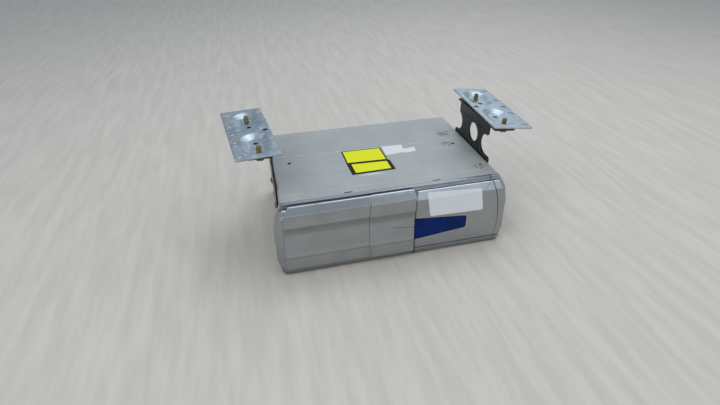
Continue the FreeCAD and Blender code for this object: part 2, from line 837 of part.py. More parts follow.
def tray(level):
    """A disc tray: a shallow round hollow, and a slot from its middle to its right edge."""
    z = tray_height(level)
    x0, x1, y0, y1 = tray_left_x, tray_right_x, tray_front_y, tray_back_y
    plate = box(x0, x1, y0, y1, z, z + tray_sheet)
    plate = round_edges(plate, 3.0, lambda c, e: runs_along(e, 2))
    top = z + tray_sheet
    hollow = rod(disc_radius + 0.3, (disc_x, disc_y, top - disc_recess), (disc_x, disc_y, top + 1))
    slot = slot_hole(disc_x, x1 + 30, disc_y, tray_slot_radius, z - 1, top + 1)
    notch = rod(5.0, (x1 + 1, y1 - 12, z - 1), (x1 + 1, y1 - 12, top + 1))
    return plate.cut([hollow, slot, notch])


def magazine_bay():
    """The folded guide that the magazine slides in, standing on the lid."""
    x0, x1 = magazine_x - bay_gap - bay_sheet, magazine_right + 2.4
    y0, y1 = front_y + 2, magazine_back + 10
    floor_top = bay_floor + bay_sheet
    bay = box(x0, x1, y0, y1, bay_floor, floor_top)
    bay = bay.fuse(box(x0, x0 + bay_sheet, y0, y1, bay_floor, magazine_top - 8))
    bay = bay.fuse(box(x0, magazine_right, y1 - bay_sheet, y1, bay_floor, magazine_top - 16))
    for x in (x0 + 8, x1 - 26):
        for y in (y0 + 14, y1 - bay_sheet):
            bay = bay.fuse(box(x, x + 12, y, y + bay_sheet, sheet, bay_floor))
    lug_x = pivot_x - lever_long_arm
    bay = bay.cut(box(lug_x - 8, lug_x + 8, y0 - 1, pivot_y + 1, bay_floor - 1, floor_top + 1))
    pin = rod(lever_pivot_radius, (pivot_x, pivot_y, lever_bottom - 0.6),
              (pivot_x, pivot_y, bay_floor))
    return bay.fuse(pin).removeSplitter()


def eject_lever():
    """The flat lever between the eject button and the magazine's lug."""
    z0, z1 = lever_bottom, lever_bottom + lever_sheet
    left, right = pivot_x - lever_long_arm, pivot_x + lever_short_arm + 2
    bar = slot_hole(left, right, pivot_y, lever_width / 2, z0, z1)
    hole = rod(lever_pivot_radius + running_gap, (pivot_x, pivot_y, z0 - 1),
               (pivot_x, pivot_y, z1 + 1))
    return bar.cut(hole)


def eject_button():
    """The button behind the door, with the rod that pushes the lever."""
    z0 = button_bottom
    left, y0 = button_place(), bezel_y - lean_at(z0 + button_height) + 0.2
    cap = box(left, left + button_width, y0, y0 + 6, z0, z0 + button_height)
    cap = round_edges(cap, 0.8, lambda c, e: c.y < y0 + 1e-6)
    push_x = pivot_x + lever_short_arm
    end = pivot_y - lever_width / 2 - 0.3
    bar = box(push_x, push_x + 3, y0 + 5, end, lever_bottom, lever_bottom + button_rod)
    upright = box(push_x, push_x + 3, y0 + 5, y0 + 6, lever_bottom, z0 + 1)
    return cap.fuse([bar, upright])


# Playing deck and its lift

def gear(teeth, x, y, bore, phase):
    """A spur gear with straight-flanked teeth, thinned a little for backlash."""
    pitch_radius = gear_module * teeth / 2
    root, tip = pitch_radius - 1.15 * gear_module, pitch_radius + 0.85 * gear_module
    step = 2 * math.pi / teeth
    points = []
    for k in range(teeth):
        for radius, share in ((root, -0.34), (tip, -0.11), (tip, 0.11), (root, 0.34)):
            angle = (k + share) * step + phase
            points.append((x + radius * math.cos(angle), y + radius * math.sin(angle),
                           gear_bottom))
    wheel = prism(points, (0, 0, gear_thickness))
    return wheel.cut(rod(bore, (x, y, 0), (x, y, gear_bottom + 20)))


def damper_places():
    """Where the rubber dampers stand on the lid: (x, y)."""
    left, right = screw_x + damper_from_screw, post_x - damper_from_post
    return [(left, front_post_y + 2), (right, front_post_y + 2),
            (play_x, screw_y + 4), (right, screw_y + 4)]


def dampers():
    """Rubber feet that carry the playing mechanism."""
    feet = []
    for x, y in damper_places():
        foot = rod(6.0, (x, y, sheet), (x, y, chassis_bottom))
        neck = rod(2.8, (x, y, chassis_bottom), (x, y, chassis_top))
        cap = rod(4.2, (x, y, chassis_top), (x, y, chassis_top + 1.4))
        feet.append(foot.fuse([neck, cap]))
    return Part.makeCompound(feet)


def mech_chassis():
    """The floor plate of the mechanism, with a bridge that carries the lift motor."""
    x0, x1 = magazine_right + 6.0, side_x - 2.5
    y0, y1 = front_y + 6.0, screw_y + 11.0
    z0, z1 = chassis_bottom, chassis_top
    plate = box(x0, x1, y0, y1, z0, z1)
    plate = plate.cut(slot_hole(play_x - 12, play_x + 26, disc_y, 18.0, z0 - 1, z1 + 1))
    bridge_x0, bridge_x1 = motor_x - 7.5, motor_x + 12.5
    bridge_z = gear_bottom + gear_thickness + 0.6
    bridge = box(bridge_x0, bridge_x1, screw_y - 8, y1 - 1, bridge_z, bridge_z + 1.2)
    bridge = bridge.fuse(box(bridge_x1 - 1.2, bridge_x1, screw_y - 8, y1 - 1, z1, bridge_z))
    cuts = [rod(2.8, (x, y, 0), (x, y, 20)) for x, y in damper_places()]
    cuts.append(rod(2.0, (screw_x, screw_y, 0), (screw_x, screw_y, z1 + 1)))
    cuts.append(rod(2.2, (motor_x, screw_y, 0), (motor_x, screw_y, 20)))
    for y in (front_post_y, screw_y):
        cuts.append(rod(post_radius, (post_x, y, 0), (post_x, y, 20)))
    return plate.fuse(bridge).cut(cuts).removeSplitter()


def guide_posts():
    """The two posts that the deck rides on."""
    posts = []
    for y in (front_post_y, screw_y):
        post = rod(post_radius, (post_x, y, chassis_bottom), (post_x, y, case_height - 2.5))
        collar = rod(post_radius + 2, (post_x, y, chassis_top), (post_x, y, chassis_top + 1.5))
        posts.append(post.fuse(collar))
    return Part.makeCompound(posts)


def lift_screw():
    """The upright screw that raises the deck, turning in the chassis."""
    x, y = screw_x, screw_y
    journal = rod(2.0 - running_gap, (x, y, chassis_bottom - 0.5), (x, y, chassis_top + 0.3))
    shaft = rod(screw_radius, (x, y, chassis_top + 0.3), (x, y, case_height - 2.5))
    return journal.fuse(shaft)


def lift_screw_gear():
    """The large wheel on the foot of the lift screw."""
    return gear(screw_gear_teeth, screw_x, screw_y, screw_radius, 0.0)


def lift_motor_gear():
    """The small wheel on the lift motor's shaft, with the shaft."""
    half_step = math.pi / motor_gear_teeth
    wheel = gear(motor_gear_teeth, motor_x, screw_y, 1.0, math.pi + half_step)
    shaft = rod(1.0, (motor_x, screw_y, gear_bottom),
                (motor_x, screw_y, gear_bottom + gear_thickness + 8))
    return wheel.fuse(shaft).removeSplitter()


def lift_motor():
    """The can motor on the chassis bridge."""
    z = gear_bottom + gear_thickness + 1.8
    can = rod(lift_motor_radius, (motor_x, screw_y, z), (motor_x, screw_y, z + lift_motor_length))
    bearing = rod(3.0, (motor_x, screw_y, z + lift_motor_length),
                  (motor_x, screw_y, z + lift_motor_length + 1.5))
    bore = rod(1.0 + running_gap, (motor_x, screw_y, z - 1), (motor_x, screw_y, z + 7.5))
    return can.fuse(bearing).cut(bore)


def playback_deck():
    """The plate that carries the spindle, the pickup and the clamp, and rides up and down."""
    z0, z1 = deck_height, deck_top
    right = sled_right_x + 6.0
    plate = box(screw_x - 4, right, front_post_y + 10, tray_back_y + 2, z0, z1)
    parts = [box(screw_x - boss_radius, screw_x + boss_radius, tray_back_y - 6, screw_y, z0, z1)]
    parts.append(box(play_x - 12, play_x + 12, tray_back_y, hinge_y + 4, z0, z1))
    for y, reach in ((front_post_y, 14), (screw_y, -22)):
        y0, y1 = sorted((y, y + reach))
        parts.append(box(post_x - 20, post_x + boss_radius, y0, y1, z0, z1))
    for x, y in lift_places():
        parts.append(rod(boss_radius, (x, y, z0 - 4), (x, y, z0 + 6)))
    for s in (-1, 1):
        y = disc_y + s * rod_spacing / 2
        for x in (sled_left_x - 11, sled_right_x + 2.5):
            parts.append(box(x, x + 3, y - 3.2, y + 3.2, z1, rod_height + 2.6))
    x = sled_right_x + 2.5
    parts.append(box(x, x + 3, sled_screw_y - 2.6, sled_screw_y + 2.6, z1, rod_height + 2.6))
    inner = clamp_arm_width / 2 + 0.4
    for s in (-1, 1):
        x0, x1 = sorted((play_x + s * inner, play_x + s * (inner + 2.6)))
        parts.append(box(x0, x1, hinge_y - 4, hinge_y + 4, hinge_height - 3, z0))
    deck = plate.fuse(parts)
    cuts = [rod(3.0, (play_x, disc_y, z0 - 1), (play_x, disc_y, z1 + 1)),
            box(sled_left_x, sled_right_x + 1.5, disc_y - rod_spacing / 2 - 5.5,
                disc_y + rod_spacing / 2 + 5.5, z0 - 1, z1 + 0.001)]
    for (x, y), radius in zip(lift_places(), (screw_radius, post_radius, post_radius)):
        cuts.append(rod(radius + running_gap, (x, y, z0 - 9), (x, y, z0 + 9)))
    for s in (-1, 1):
        y = disc_y + s * rod_spacing / 2
        cuts.append(rod(rod_radius, (sled_left_x - 11.5, y, rod_height), (right, y, rod_height)))
    cuts.append(rod(0.8 + running_gap, (sled_right_x, sled_screw_y, rod_height),
                    (right, sled_screw_y, rod_height)))
    cuts.append(rod(hinge_radius + running_gap, (play_x - 20, hinge_y, hinge_height),
                    (play_x + 20, hinge_y, hinge_height)))
    return deck.cut(cuts).removeSplitter()


def lift_places():
    """The lift screw and the two posts: (x, y)."""
    return [(screw_x, screw_y), (post_x, front_post_y), (post_x, screw_y)]


def spindle_motor():
    """The flat motor above the turntable."""
    can = rod(spindle_motor_radius, (play_x, disc_y, deck_top),
              (play_x, disc_y, deck_top + spindle_motor_height))
    return can.cut(rod(spindle_radius + running_gap, (play_x, disc_y, 0),
                       (play_x, disc_y, deck_top + 6)))


def turntable():
    """The hub that a disc is pressed against, with its spindle."""
    z1 = deck_height - 3.5
    z0 = z1 - 2.5
    disc = rod(turntable_radius, (play_x, disc_y, z0), (play_x, disc_y, z1))
    hub = rod(5.0, (play_x, disc_y, z1), (play_x, disc_y, deck_height - 0.6))
    cone = Part.makeCone(centring_cone_radius - centring_cone_height, centring_cone_radius,
                         centring_cone_height, V(play_x, disc_y, z0 - centring_cone_height))
    spindle = rod(spindle_radius, (play_x, disc_y, z1), (play_x, disc_y, deck_top + 5.5))
    return disc.fuse([hub, cone, spindle]).removeSplitter()


def sled_rods():
    """The two rods that the pickup slides on."""
    x0, x1 = sled_left_x - 11, sled_right_x + 5.5
    return Part.makeCompound([rod(rod_radius, (x0, y, rod_height), (x1, y, rod_height))
                              for y in (disc_y - rod_spacing / 2, disc_y + rod_spacing / 2)])


def pickup():
    """The laser sled: a body on two rods with its lens turned to the disc."""
    x0, x1 = sled_left_x + 0.5, sled_left_x + 0.5 + pickup_length
    half = rod_spacing / 2
    z0 = deck_height - 1.5
    body = box(x0, x1, disc_y - half + 4, disc_y + half - 4, z0, rod_height + 1.5)
    parts = [box(x0, x1, y - 3.8, y + 3.8, rod_height - 2.8, rod_height + 2.4)
             for y in (disc_y - half, disc_y + half)]
    parts += [box(x0, x1, min(y, disc_y), max(y, disc_y), rod_height - 2.8, rod_height)
              for y in (disc_y - half, disc_y + half)]
    lens_x = play_x + lens_start
    parts.append(rod(3.4, (lens_x, disc_y, z0 - 2.0), (lens_x, disc_y, z0)))
    nut_y = sled_screw_y - rod_radius - 0.4
    parts.append(box(x0 + 4, x1 - 4, disc_y + half, nut_y, rod_height - 1, rod_height + 1))
    cuts = [rod(rod_radius + running_gap, (x0 - 1, y, rod_height), (x1 + 1, y, rod_height))
            for y in (disc_y - half, disc_y + half)]
    cuts.append(rod(2.2, (lens_x, disc_y, z0 - 3), (lens_x, disc_y, z0 - 1)))
    return body.fuse(parts).cut(cuts).removeSplitter()


def sled_screw():
    """The lead screw beside the pickup."""
    y, z = sled_screw_y, rod_height
    x0, x1 = sled_left_x - 4.0, sled_right_x + 2.3
    shaft = rod(rod_radius, (x0, y, z), (x1, y, z))
    return shaft.fuse(rod(0.8, (x0 - 4, y, z), (x1 + 3, y, z)))


def sled_motor():
    """The small motor on the end of the lead screw."""
    y, z, x1 = sled_screw_y, rod_height, sled_left_x - 4.2
    can = rod(sled_motor_radius, (x1 - sled_motor_length, y, z), (x1, y, z))
    return can.cut(rod(0.8 + running_gap, (x1 - 6, y, z), (x1 + 1, y, z)))


def clamp_arm():
    """The arm under the disc that presses it to the turntable."""
    half = clamp_arm_width / 2
    z0, z1 = arm_bottom, arm_bottom + clamp_arm_sheet
    arm = box(play_x - half, play_x + half, disc_y, hinge_y, z0, z1)
    end = rod(half, (play_x, disc_y, z0), (play_x, disc_y, z1))
    hub = rod(2.6, (play_x - half, hinge_y, hinge_height), (play_x + half, hinge_y, hinge_height))
    pin = rod(hinge_radius, (play_x - half - 3.2, hinge_y, hinge_height),
              (play_x + half + 3.2, hinge_y, hinge_height))
    arm = arm.fuse([end, hub, pin])
    window = rod(3.5, (play_x, hinge_y - 30, z0 - 1), (play_x, hinge_y - 30, z1 + 1))
    return arm.cut([rod(2.2, (play_x, disc_y, z0 - 1), (play_x, disc_y, z1 + 1)), window])


def clamp_puck():
    """The free-turning puck on the arm's end."""
    z = arm_bottom + clamp_arm_sheet
    ring = rod(puck_radius, (play_x, disc_y, z + 0.3), (play_x, disc_y, z + 2.7))
    ring = ring.cut(rod(8.2, (play_x, disc_y, z + 1.3), (play_x, disc_y, z + 5)))
    stem = rod(2.0, (play_x, disc_y, arm_bottom - 0.3), (play_x, disc_y, z + 0.3))
    foot = rod(3.2, (play_x, disc_y, arm_bottom - 0.9), (play_x, disc_y, arm_bottom - 0.3))
    return ring.fuse([stem, foot]).removeSplitter()


# Circuit board and socket

def board_stud_places():
    """The four studs under the circuit board: (x, z)."""
    inset = side_x - stud_inset
    return [(x, z) for x in (-inset, inset) for z in (low_stud_height, case_height - high_stud_drop)]


def main_board():
    """The circuit board behind the magazine, with its larger components."""
    half = side_x - board_inset
    z0, z1 = low_stud_height - 5, case_height - board_top_drop
    board = box(-half, half, board_y, board_y + board_sheet, z0, z1)
    parts = [box(-0.6 * half, -0.38 * half, board_y - 2.4, board_y, z0 + 18, z0 + 40),
             box(-8, 6, board_y - 2, board_y, z0 + 28, z0 + 42),
             box(0.36 * half, 0.7 * half, board_y - 5, board_y, z1 - 12, z1 - 3)]
    for k in range(capacitor_count):
        x, z = -0.9 * half + capacitor_pitch * k, z1 - 10
        parts.append(rod(capacitor_radius, (x, board_y - 6, z), (x, board_y, z)))
    return board.fuse(parts)


def data_socket():
    """The round data socket: a flange outside the back and a body down to the board."""
    x, z = socket_x, socket_height
    outside = back_y - sheet
    body = rod(socket_radius, (x, board_y + board_sheet, z), (x, outside, z))
    flange = rod(socket_radius + 2, (x, outside, z), (x, outside + 1.6, z))
    socket = body.fuse(flange)
    ring = rod(socket_radius - 1.2, (x, outside + 1, z), (x, outside + 3, z))
    ring = ring.cut(rod(socket_radius - 2.2, (x, outside, z), (x, outside + 4, z)))
    return socket.cut(ring).removeSplitter()


def all_pieces():
    """Every piece by its name."""
    pieces = {
        "base_shell": base_shell(), "lid_plate": lid_plate(), "rear_panel": rear_panel(),
        "casing_screws": casing_screws(), "front_bezel": front_bezel(), "end_cap": end_cap(),
        "number_panel": number_panel(), "door_panel": door_panel(), "door_grip": door_grip(),
        "door_seal": door_seal(), "bracket_screws_right": bracket_screws(),
        "bracket_screws_left": mirrored(bracket_screws()),
        "magazine_shell": magazine_shell(), "magazine_bay": magazine_bay(),
        "eject_lever": eject_lever(), "eject_button": eject_button(),
        "mech_chassis": mech_chassis(), "dampers": dampers(), "guide_posts": guide_posts(),
        "lift_screw": lift_screw(), "lift_screw_gear": lift_screw_gear(),
        "lift_motor": lift_motor(), "lift_motor_gear": lift_motor_gear(),
        "playback_deck": playback_deck(), "spindle_motor": spindle_motor(),
        "turntable": turntable(), "sled_rods": sled_rods(), "pickup": pickup(),
        "sled_screw": sled_screw(), "sled_motor": sled_motor(), "clamp_arm": clamp_arm(),
        "clamp_puck": clamp_puck(), "main_board": main_board(), "data_socket": data_socket(),
    }
    for name, side in (("right", 1), ("left", -1)):
        for piece, make in (("bracket", bracket), ("mounting_plate", mounting_plate),
                            ("plate_bolts", plate_bolts)):
            shape = make(side)
            pieces[f"{piece}_{name}"] = shape if side > 0 else mirrored(shape)
    for level in range(tray_count):
        pieces[f"tray_{level + 1:02d}"] = tray(level)
    return pieces


os.makedirs("parts", exist_ok=True)
for name, shape in all_pieces().items():
    shape.exportStep(f"parts/{name}.step")
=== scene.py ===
import json
import math
import bmesh
import bpy
from mathutils import Matrix, Vector


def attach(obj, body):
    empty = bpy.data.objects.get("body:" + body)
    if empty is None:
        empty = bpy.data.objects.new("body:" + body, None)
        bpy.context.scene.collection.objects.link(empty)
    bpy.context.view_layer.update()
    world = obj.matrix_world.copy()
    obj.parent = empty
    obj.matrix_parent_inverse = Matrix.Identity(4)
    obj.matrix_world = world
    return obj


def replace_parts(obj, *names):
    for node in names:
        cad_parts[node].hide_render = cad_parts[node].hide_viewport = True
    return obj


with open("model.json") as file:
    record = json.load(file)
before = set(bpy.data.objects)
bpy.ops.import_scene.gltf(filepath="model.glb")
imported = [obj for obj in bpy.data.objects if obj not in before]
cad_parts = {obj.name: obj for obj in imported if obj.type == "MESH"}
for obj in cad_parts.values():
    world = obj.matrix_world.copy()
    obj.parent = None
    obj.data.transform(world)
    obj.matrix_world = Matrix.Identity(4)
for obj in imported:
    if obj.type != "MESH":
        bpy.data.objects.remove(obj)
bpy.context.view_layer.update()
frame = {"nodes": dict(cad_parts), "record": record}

METRE = 1000.0
MM = 1.0 / METRE

# Sizes shared with the solids, in millimetres
SIDE_X, TOP_Z = 131.0, 89.5
BRACKET_SHEET, BRACKET_HEIGHT = 2.0, 135.5
PLATE_INNER_X, PLATE_CENTRE_Y = 128.4, -4.0
PLATE_TURN = {"left": 6.6, "right": -2.8}
PLATE_TILT = {"left": 0.0, "right": 5.3}
BOLT_U, BOLT_V = 21.8, (-48.0, 37.0)
LID_SCREW_Y, LID_SCREW_Z = (-70.0, 0.0, 70.0), 5.5
BRACKET_SCREW_Y, BRACKET_SCREW_Z = (-39.0, 21.0), 56.0
BACK_SCREW_X, BACK_SCREW_Z = (-121.0, 121.0), (8.0, 80.0)
BEZEL_Y, BEZEL_LEAN, CHAMFER_FOOT = -101.0, 4.3, 76.0
BEZEL_TOP, CHAMFER_DEPTH = 86.0, 4.0
GRIP_LEFT, GRIP_RIGHT = -28.2, 20.6
GRIP_LIP_Y, GRIP_BEND_Y, GRIP_TOP = -95.5, -97.3, 89.42
GRIP_FACE_Y, GRIP_FACE_TOP = -105.8, 82.42
PANEL_RIGHT, PANEL_MIDDLE = 88.5, 37.0
PANEL_HALF, PANEL_FLARE, PANEL_CORNER = 8.5, 0.0951, 4.2
BACK_PANEL_Y, BOARD_Y = 85.0, 78.5
MAGAZINE_Y, FIRST_TRAY, TRAY_PITCH, TRAYS = -88.5, 15.0, 6.0, 10
LIFT_X, LIFT_Y, LIFT_FOOT, LIFT_TOP = 8.0, 60.0, 6.8, 87.0
LENS_X, LENS_Y, LENS_Z = 69.7, -19.8, 21.4
SLED_Y, SLED_Z, SLED_ENDS = 6.5, 29.5, (57.4, 113.7)

# The bowed edges of the front: how far right each stands at its foot, its slope and its bow
CAP_SEAM = (126.43, 0.2314, -0.003592)
DOOR_END = (20.89, -0.0526, 0.000681)

FORWARD, BACKWARD, UPWARD = (0.0, -1.0, 0.0), (0.0, 1.0, 0.0), (0.0, 0.0, 1.0)
SIDES = (("left", -1.0), ("right", 1.0))


# Finishes

def shade(red, green, blue):
    """A colour written as it looks on a screen, from 0 to 1, as the shader wants it."""
    return tuple(c / 12.92 if c <= 0.04045 else ((c + 0.055) / 1.055) ** 2.4
                 for c in (red, green, blue))


class Value:
    """A number or a colour on its way through the nodes of a finish."""

    def __init__(self, finish, socket):
        self.finish, self.socket = finish, socket

    def maths(self, operation, first, second=0.0):
        """One Math node on two numbers."""
        return self.finish.node("ShaderNodeMath", {"operation": operation},
                                {0: first, 1: second})

    def __add__(self, other):
        return self.maths("ADD", self, other)

    def __radd__(self, other):
        return self.maths("ADD", other, self)

    def __sub__(self, other):
        return self.maths("SUBTRACT", self, other)

    def __rsub__(self, other):
        return self.maths("SUBTRACT", other, self)

    def __mul__(self, other):
        return self.maths("MULTIPLY", self, other)

    def __rmul__(self, other):
        return self.maths("MULTIPLY", other, self)

    def __pow__(self, other):
        return self.maths("POWER", self, other)

    def __abs__(self):
        return self.maths("ABSOLUTE", self)

    def least(self, other):
        """The smaller of two."""
        return self.maths("MINIMUM", self, other)

    def most(self, other):
        """The larger of two."""
        return self.maths("MAXIMUM", self, other)

    def over(self, low, high):
        """From 0 below low to 1 above high, with soft ends."""
        return self.finish.node("ShaderNodeMapRange", {"interpolation_type": "SMOOTHSTEP"},
                                {"Value": self, "From Min": low, "From Max": high})

    def under(self, low, high):
        """From 1 below low to 0 above high, with soft ends."""
        return 1.0 - self.over(low, high)

    def within(self, start, full, fading, end):
        """1 from full to fading, and 0 before start and after end."""
        return self.over(start, full) * self.under(fading, end)


class Finish:
    """A material: constants set on its shader, and the nodes for what varies over a surface."""

    def __init__(self, name, **constants):
        self.material = bpy.data.materials.new(name)
        self.material.use_nodes = True
        self.tree = self.material.node_tree
        self.shader = self.tree.nodes["Principled BSDF"]
        self.plug(self.shader, {k.replace("_", " "): v for k, v in constants.items()})
        self.place = self.node("ShaderNodeTexCoord", {}, {}, "Object")

    def plug(self, node, sockets):
        """Set or link a node's sockets. A colour gets its fourth number here."""
        for key, value in sockets.items():
            socket = node.inputs[key]
            if isinstance(value, Value):
                self.tree.links.new(value.socket, socket)
            elif isinstance(value, tuple) and len(socket.default_value) == len(value) + 1:
                socket.default_value = (*value, 1.0)
            else:
                socket.default_value = value

    def node(self, kind, settings, sockets, output=0):
        """Any node: its type, its settings, what goes into its sockets, and the output kept."""
        made = self.tree.nodes.new(kind)
        for key, value in settings.items():
            setattr(made, key, value)
        self.plug(made, sockets)
        return Value(self, made.outputs[output])

    def vector(self, operation, first, second=(0.0, 0.0, 0.0), output="Vector"):
        """One Vector Math node."""
        return self.node("ShaderNodeVectorMath", {"operation": operation},
                         {0: first, 1: second}, output)

    def paint(self, first, *coats):
        """Colours laid one over another: the first, then each coat as far as its mask goes."""
        colour = first if isinstance(first, Value) else shade(*first)
        for mask, coat in coats:
            top = coat if isinstance(coat, Value) else shade(*coat)
            colour = self.node("ShaderNodeMix", {"data_type": "RGBA"},
                               {0: mask, 6: colour, 7: top}, 2)
        return colour

    def axis(self, index):
        """One coordinate of the place, in millimetres."""
        return self.node("ShaderNodeSeparateXYZ", {}, {0: self.place}, index) * METRE

    def noise(self, size, detail, roughness=0.55, stretch=(1.0, 1.0, 1.0), offset=0.0):
        """Noise of a size in millimetres. A small stretch on an axis draws it out along it."""
        where = self.vector("MULTIPLY", self.place, stretch)
        if offset:
            where = self.vector("ADD", where, (offset, offset, offset))
        return self.node("ShaderNodeTexNoise", {},
                         {"Vector": where, "Scale": METRE / size, "Detail": detail,
                          "Roughness": roughness})

    def cells(self, size):
        """A level of its own, from 0 to 1, for each cell of a size in millimetres."""
        colour = self.node("ShaderNodeTexVoronoi", {},
                           {"Vector": self.place, "Scale": METRE / size}, "Color")
        return self.node("ShaderNodeSeparateColor", {}, {0: colour}, "Red")

    def near(self, x, y, z, reach, flat=(1.0, 1.0, 1.0)):
        """1 at a point given in millimetres, down to 0 at its reach, and flatter on an axis."""
        away = self.vector("SUBTRACT", self.place, (x * MM, y * MM, z * MM))
        away = self.vector("MULTIPLY", away, flat)
        return (self.vector("LENGTH", away, output="Value") * METRE).under(0.0, reach)

    def eased(self, radius):
        """The surface's direction, as if its edges were rounded."""
        return self.node("ShaderNodeBevel", {"samples": 4}, {"Radius": radius * MM})

    def edge(self, radius):
        """1 on the sharp edges, where handling wears a finish, and where painted highlights or
        shade go.
        """
        blunt, sharp = 0.02, 0.25
        flat = self.node("ShaderNodeNewGeometry", {}, {}, "Normal")
        same = self.vector("DOT_PRODUCT", self.eased(radius), flat, "Value")
        return (1.0 - same).over(blunt, sharp)

    def scratches(self, width, bareness, turn):
        """Thin straight lines at a slant. The higher the bareness, the fewer there are."""
        drawn_out, sharpness, patch, bared = (0.03, 1.0, 1.0), 4000.0, 30.0, 0.75
        slanted = self.node("ShaderNodeMapping", {},
                            {"Vector": self.place, "Rotation": (turn, turn * 0.7, turn),
                             "Scale": drawn_out})
        lines = self.node("ShaderNodeTexNoise", {},
                          {"Vector": slanted, "Scale": METRE / width, "Detail": 1.0})
        away = lines - 0.5
        kept = self.noise(patch, 2.0, offset=turn).over(bareness, bared)
        return (1.0 - (away * away * sharpness).least(1.0)) * kept

    def height(self, value, strength, distance, edge=0.0):
        """Bump from a value between 0 and 1, over a depth in millimetres, on softened edges."""
        sockets = {"Strength": strength, "Distance": distance * MM, "Height": value}
        if edge:
            sockets["Normal"] = self.eased(edge)
        return self.node("ShaderNodeBump", {}, sockets)

    def wear(self, **varying):
        """Feed the shader's own sockets with what varies."""
        self.plug(self.shader, {k.replace("_", " "): v for k, v in varying.items()})
        return self.material


def thin_line(away, width):
    """1 where a distance in millimetres is nothing, down to 0 half a width off."""
    return 1.0 - (away * away * (4.0 / width ** 2)).least(1.0)


def bowed(height, edge):
    """How far right a bowed edge of the front stands at a height."""
    foot, slope, bow = edge
    return foot + height * (slope + height * bow)


def coated_sheet():
    """Grey coated steel of the casing: dull, scuffed along its crease, rusty by the rear hole."""
    f = Finish("coated_sheet", Metallic=0.15, IOR=1.5)
    cloud = f.noise(38.0, 4.0)
    grain = f.noise(0.5, 2.0)
    along, back = f.axis(0), f.axis(1)
    above = f.axis(2).over(TOP_Z - 0.9, TOP_Z - 0.2)
    marks = f.scratches(1.3, 0.55, 0.4).most(f.scratches(1.1, 0.6, 1.7))
    # A rubbed line across the top, bent at one point, and the fold's crease before it
    bend_x, bend_y, slack, steep = -79.3, 16.3, 0.0206, 0.0903
    rubbed = (bend_y - (along - bend_x) * slack).most(bend_y - (along - bend_x) * steep)
    rubbed = thin_line(back - rubbed, 1.0) * f.noise(16.0, 3.0).over(0.36, 0.5)
    crease_y = -73.2
    crease = thin_line(back - crease_y, 1.1) * above
    brown = crease * f.near(-95.0, crease_y, TOP_Z, 32.0) * f.noise(5.0, 3.0).over(0.36, 0.5)
    # Rust: a ring and two patches
    ring_x, ring_y, outer, inner = 101.0, 0.0, 9.0, 7.0
    ring = f.near(ring_x, ring_y, TOP_Z, outer) * (1.0 - f.near(ring_x, ring_y, TOP_Z, inner))
    rust = (ring * 2.4).most(f.near(109.0, 32.0, TOP_Z, 17.0))
    rust = rust.most(f.near(118.0, -66.0, TOP_Z, 15.0))
    rust = (rust * f.noise(4.6, 4.0, 0.65).over(0.46, 0.62)).over(0.10, 0.6)
    # Old glue along the front edge of the lower label
    glue = f.near(-18.0, -51.5, TOP_Z, 27.0, (1.0, 7.0, 1.0))
    glue = glue * f.noise(6.0, 3.0, 0.6).over(0.4, 0.52)
    base = f.paint((0.65, 0.655, 0.635),
                   (cloud.over(0.3, 0.7), (0.69, 0.69, 0.67)),
                   (grain.over(0.35, 0.65) * 0.25, (0.50, 0.53, 0.54)),
                   ((marks * 0.35).most(rubbed * above * 0.8), (0.86, 0.88, 0.89)),
                   (crease * f.noise(9.0, 3.0).over(0.4, 0.6) * 0.45, (0.80, 0.82, 0.83)),
                   (brown * 0.8, (0.36, 0.32, 0.27)),
                   # Pale edges: worn coat and a painted highlight along the bends
                   (f.edge(0.9) * 0.85, (0.92, 0.93, 0.93)),
                   (rust * 0.75, (0.43, 0.38, 0.28)),
                   (glue * 0.75, (0.90, 0.87, 0.76)))
    bump = grain * 0.25 + rust * 0.6 - marks * 0.4
    return f.wear(Base_Color=base, Roughness=0.42 + cloud * 0.12 + grain * 0.06 + rust * 0.3,
                  Normal=f.height(bump, 0.35, 0.08, 0.5))


